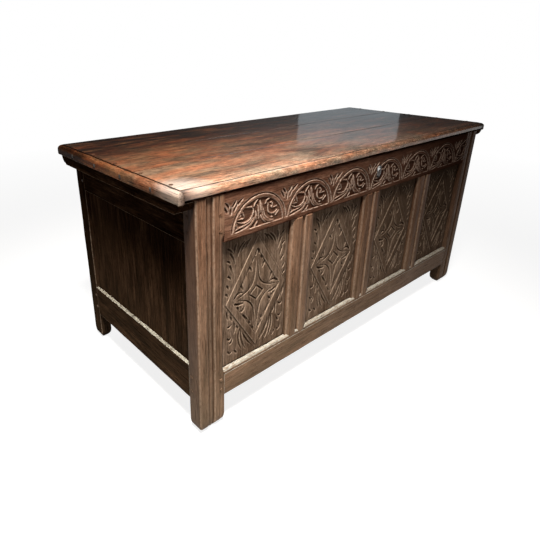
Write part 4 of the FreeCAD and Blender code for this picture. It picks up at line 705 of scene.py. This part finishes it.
def moulding_of(node):
    """Rows of the moulding down a post, in metres, or None."""
    if node.startswith("front_stile"):
        return np.array(STILE_MOULDING) * (MM, MM, 1, 1)
    if node.startswith("front_muntin"):
        return np.array(MUNTIN_MOULDING) * (MM, MM, 1, 1)
    return None


def cut_across(shape, axis, at):
    """Adds a row of edges in the plane where that axis reads at."""
    point = [0.0, 0.0, 0.0]
    point[axis] = at
    bmesh.ops.bisect_plane(shape, geom=shape.verts[:] + shape.edges[:] + shape.faces[:], dist=1e-6,
                           plane_co=point, plane_no=[float(i == axis) for i in range(3)])


def wear_of(node, place, wear_and_highlight, top):
    """Wear and hollow darkness at one place of a timber with that top: rubbed arrises, ledge tops pale with
    dust and a painted highlight, dark joints.
    """
    if node.startswith("lid_board"):
        joint = abs(place.x) > BOARD_END_X or (wear_and_highlight and place.y > BOARD_FRONT_Y)
        quirk = place.z < QUIRK_TOP_Z and QUIRK_Y[0] < place.y < QUIRK_Y[1]
        return (0.0, 1.0) if joint or quirk else (wear_and_highlight, 0.0)
    if node.startswith("lid_end_moulding") and abs(place.x) < STRIP_JOINT_X:
        return 0.0, 1.0
    # ledge tops: dust and a painted highlight; a dark joint below them
    if node == "front_bottom_rail" and place.z > LEDGE_Z and place.y < LEDGE_BACK_Y:
        return (0.0, 1.0) if place.z < LEDGE_JOINT_Z else (float(place.z > LEDGE_HIGHLIGHT_Z), 0.0)
    on_top = place.z > top - END_LEDGE_DEPTH
    if node.startswith("end_bottom_rail") and on_top and abs(place.x) > END_LEDGE_X:
        return 1.0, 0.0
    return wear_and_highlight, 0.0


def round_arrises(shape, least, wear_and_highlight):
    """Rounds edges sharper than least, and marks what lies on the rounding alone as worn."""
    sharp = [e for e in shape.edges if len(e.link_faces) == 2 and e.calc_length() > SHORTEST_ARRIS
             and e.calc_face_angle_signed(0) > least]
    if not sharp:
        return
    made = bmesh.ops.bevel(shape, geom=sharp, offset=ARRIS, offset_type="OFFSET", segments=2, profile=0.6,
                           affect="EDGES", clamp_overlap=True)
    rounded = set(made["faces"])
    for vert in made["verts"]:
        vert[wear_and_highlight] = float(all(face in rounded for face in vert.link_faces))


def aged(node, along, material):
    """Copy of a timber with worn arrises and a little sway, as hand-worked oak has."""
    moulding = moulding_of(node)
    shape = bmesh.new()
    shape.from_mesh(frame["nodes"][node].data)
    bmesh.ops.remove_doubles(shape, verts=shape.verts, dist=WELD)
    bmesh.ops.dissolve_limit(shape, angle_limit=FLAT, verts=shape.verts, edges=shape.edges)
    wear_and_highlight = shape.verts.layers.float.new("wear_and_highlight")
    # darkness of hollows and joints: dark wax, painted shade and dark joints
    dark_hollows_and_shade = shape.verts.layers.float.new("dark_hollows_and_shade")
    round_arrises(shape, SHARP if moulding is None else SHARP_IF_MOULDED, wear_and_highlight)
    axis = "XYZ".index(along)
    low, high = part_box(node)
    at = low[axis] + SWAY_STEP
    while at < high[axis] - SWAY_STEP / 2:
        cut_across(shape, axis, at)
        at += SWAY_STEP
    if "stile" in node:
        for at in FOOT_CUTS:
            cut_across(shape, 2, at * MM)
    if node == "front_bottom_rail":
        for at in LEDGE_CUTS:
            cut_across(shape, 2, at)
    mirrored = node == "front_stile_right"
    if moulding is not None:
        for across in moulding[:, 0]:
            cut_across(shape, 0, high.x - across if mirrored else low.x + across)
    shift = Vector((wood_shift(node), 0.0, 0.0))
    middle = (low + high) / 2
    for vert in shape.verts:
        across = high.x - vert.co.x if mirrored else vert.co.x - low.x
        on_face = moulding is not None and vert.co.y < low.y + MOULDED_DEPTH
        if on_face:
            # moulded faces take their wear with painted highlight, and their painted shade, from the table
            sunk, rub_and_highlight, shaded = (np.interp(across, moulding[:, 0], moulding[:, i]) for i in (1, 2, 3))
            vert[wear_and_highlight], vert[dark_hollows_and_shade] = float(rub_and_highlight), 0.8 * float(shaded)
        else:
            vert[wear_and_highlight], vert[dark_hollows_and_shade] = wear_of(node, vert.co, vert[wear_and_highlight], high.z)
        if "stile" in node and vert.co.z < FOOT_CUTS[-1] * MM:
            lost = (1 - vert.co.z / (FOOT_CUTS[-1] * MM)) ** 2
            vert.co.x += (middle.x - vert.co.x) * FOOT_WEAR_X * lost
            vert.co.y += (middle.y - vert.co.y) * FOOT_WEAR_Y * lost
        drift = noise.noise_vector(vert.co * SWAY_WAVES + shift) * SWAY
        drift[axis] = 0.0
        # where lid and carcase meet, neither sways toward the other
        if BODY_OF[node] == "lid" and vert.co.z < low.z + SEAT_DEPTH:
            drift.z = max(drift.z, 0.0)
        if BODY_OF[node] == "carcase" and vert.co.z > high.z - SEAT_DEPTH:
            drift.z = min(drift.z, 0.0)
        if on_face:
            drift.y += float(sunk)
        vert.co += drift
        fray = noise.noise_vector(vert.co * FRAY_WAVES + shift) * FRAY
        vert.co += fray * vert[wear_and_highlight]
    mesh = bpy.data.meshes.new("aged_" + node)
    shape.to_mesh(mesh)
    shape.free()
    mesh.polygons.foreach_set("use_smooth", [True] * len(mesh.polygons))
    mesh.set_sharp_from_angle(angle=CREASE)
    piece = bpy.data.objects.new("aged_" + node, mesh)
    bpy.context.scene.collection.objects.link(piece)
    weighted = piece.modifiers.new("weighted", "WEIGHTED_NORMAL")
    weighted.keep_sharp = True
    mesh.materials.append(material)
    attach(piece, BODY_OF[node])
    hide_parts(node)


def wood_shift(node):
    """Where in the noise a timber lies, so that no two sway alike."""
    return random.Random(node).uniform(0, 50)


forged = iron("forged_iron")
plate_low, plate_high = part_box("keyhole_escutcheon")
glint_inset = 7 * MM
# a painted highlight near the escutcheon's upper left corner
glint_spot = (plate_low.x + glint_inset, plate_low.y, plate_high.z - glint_inset)
glinting_iron = iron("glinting_iron", (0.15, 0.35), 1.0, 0.3, glint_spot)
sunk_nails = iron("waxed_nail_heads", (0.60, 0.85), 0.3, 0.0, specular=0.1)

for node in sorted(frame["nodes"]):
    if node == "nails_lid_mouldings":
        material = sunk_nails
    elif node == "keyhole_escutcheon":
        material = glinting_iron
    elif SLOT_OF[node] == "wrought_iron":
        material = forged
    elif family(node):
        along, look, is_aged = family(node)
        material = oak("oak_" + node, along, **look)
        if is_aged:
            aged(node, along, material)
            continue
    else:
        continue
    slots = frame["nodes"][node].data.materials
    slots.clear()
    slots.append(material)

# The carved faces stand where the plain CAD ones do.
for number in range(1, 5):
    node = "front_panel_%d" % number
    low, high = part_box(node)
    margin = PANEL_TONGUE * MM
    width = (high.x - low.x) / MM - 2 * PANEL_TONGUE
    height = (high.z - low.z) / MM - 2 * PANEL_TONGUE
    relief = carved_panel(width, height, LOZENGE_SHIFT, PANEL_SEED + number)
    piece = relief_object("carved_panel_%d" % number, relief, low.x + margin, low.z + margin, low.y,
                          low.y + PANEL_THICKNESS * MM)
    piece.data.materials.append(oak("carved_oak_%d" % number, "Z", **PANEL_LOOK))
    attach(piece, "carcase")
    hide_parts(node)

low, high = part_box("front_top_rail")
rail_width = -2 * RAIL_LEFT
feet = [LUNETTE_FIRST_MARGIN + LUNETTE_PITCH * index for index in range(LUNETTE_COUNT)]
relief = carved_rail(rail_width, (high.z - low.z) / MM, feet, RAIL_SEED)


def in_keyhole(u, v):
    """The round top of the keyhole and the slot below it."""
    slot = (np.abs(u - KEY_U) < KEY_SLOT) & (v < KEY_V) & (v > KEY_V - KEY_DROP)
    return slot | (np.hypot(u - KEY_U, v - KEY_V) < KEY_RADIUS)


rail = relief_object("carved_top_rail", relief, RAIL_LEFT * MM, low.z, low.y, high.y, in_keyhole)
rail.data.materials.append(oak("carved_rail_oak", "X", **RAIL_LOOK))
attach(rail, "carcase")
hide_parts("front_top_rail")


# ---------------------------------------------------------------- floor, light
def seen_background(n):
    """1 for rays that show the background: from the camera, in gloss, and through glass."""
    path = n.add("ShaderNodeLightPath").outputs
    both = n.math("MAXIMUM", path["Is Camera Ray"], path["Is Glossy Ray"])
    return n.math("MAXIMUM", both, path["Is Transmission Ray"]), path["Is Camera Ray"]


def lay_floor():
    """Plain pale floor that keeps the chest's shadow and fades into the background far off."""
    side = 14.0
    corners = [(-side, -side, 0), (side, -side, 0), (side, side, 0), (-side, side, 0)]
    mesh = bpy.data.meshes.new("floor")
    mesh.from_pydata(corners, [], [(0, 1, 2, 3)])
    floor = bpy.data.objects.new("floor", mesh)
    bpy.context.scene.collection.objects.link(floor)
    n = Nodes(bpy.data.materials.new("floor"))
    seen, _ = seen_background(n)
    cloud = n.noise(n.place(), 3.0)
    plain = n.add("ShaderNodeBsdfDiffuse", {"Color": n.greys(cloud, 0.3, 0.30, 0.7, 0.33)})
    pale = n.add("ShaderNodeBsdfDiffuse", {"Color": (0.34, 0.34, 0.34, 1.0)})
    glow = n.add("ShaderNodeEmission", {"Color": WHITE, "Strength": 0.84})
    shown = n.add("ShaderNodeAddShader", {0: pale.outputs[0], 1: glow.outputs[0]})
    far = n.add("ShaderNodeVectorMath", {0: n.place()}, operation="LENGTH").outputs["Value"]
    horizon = n.add("ShaderNodeEmission", {"Color": WHITE, "Strength": 1.0})
    fade = n.span(far, 1.4, 3.4)
    faded = n.add("ShaderNodeMixShader", {0: fade, 1: shown.outputs[0], 2: horizon.outputs[0]})
    blend = n.add("ShaderNodeMixShader", {0: seen, 1: plain.outputs[0], 2: faded.outputs[0]})
    n.add("ShaderNodeOutputMaterial", {"Surface": blend.outputs[0]})
    floor.data.materials.append(n.owner)


def fill_world():
    """Pale background to just above the horizon, under the dim ceiling of the studio."""
    studio = bpy.data.worlds.new("studio")
    bpy.context.scene.world = studio
    n = Nodes(studio)
    seen, from_camera = seen_background(n)
    direction = n.add("ShaderNodeTexCoord").outputs["Generated"]
    rise = n.add("ShaderNodeSeparateXYZ", {0: direction}).outputs["Z"]
    level = n.math("MAXIMUM", n.span(rise, -0.02, 0.01, 1.0, 0.04), from_camera)
    ambient = n.add("ShaderNodeBackground", {"Color": WARM_WHITE + (1.0,), "Strength": 0.08})
    white = n.add("ShaderNodeBackground", {"Color": WHITE, "Strength": level})
    mixed = n.add("ShaderNodeMixShader", {0: seen, 1: ambient.outputs[0], 2: white.outputs[0]})
    n.add("ShaderNodeOutputWorld", {0: mixed.outputs[0]})


def lamp(name, place, aim, size, power, colour=(1.0, 1.0, 1.0), spread=180.0):
    """Rectangular studio lamp at place, turned toward aim."""
    data = bpy.data.lights.new(name, "AREA")
    data.shape = "RECTANGLE"
    data.size, data.size_y = size
    data.energy = power
    data.color = colour
    data.spread = math.radians(spread)
    piece = bpy.data.objects.new(name, data)
    piece.location = place
    piece.rotation_euler = (Vector(aim) - Vector(place)).to_track_quat("-Z", "Y").to_euler()
    piece.visible_camera = False
    bpy.context.scene.collection.objects.link(piece)


lay_floor()
fill_world()
lamp("key", (-1.00, -0.78, 2.30), (-0.55, -0.26, 0.45), (0.36, 0.36), 14.0, (1.0, 0.95, 0.89), 62.0)
lamp("window", (3.276, 2.125, 1.0), (0.2, 0.0, 0.75), (1.10, 0.90), 1.9, (0.80, 0.92, 1.0))
lamp("back_fill", (2.2, 1.9, 2.7), (0.2, 0.2, 0.2), (1.3, 1.3), 24.0)
lamp("front_fill", (-0.6, -3.2, 0.33), (-0.4, 0.0, 0.33), (1.4, 0.55), 2.0, WARM_WHITE, 70.0)

bpy.context.scene.view_settings.view_transform = "Standard"
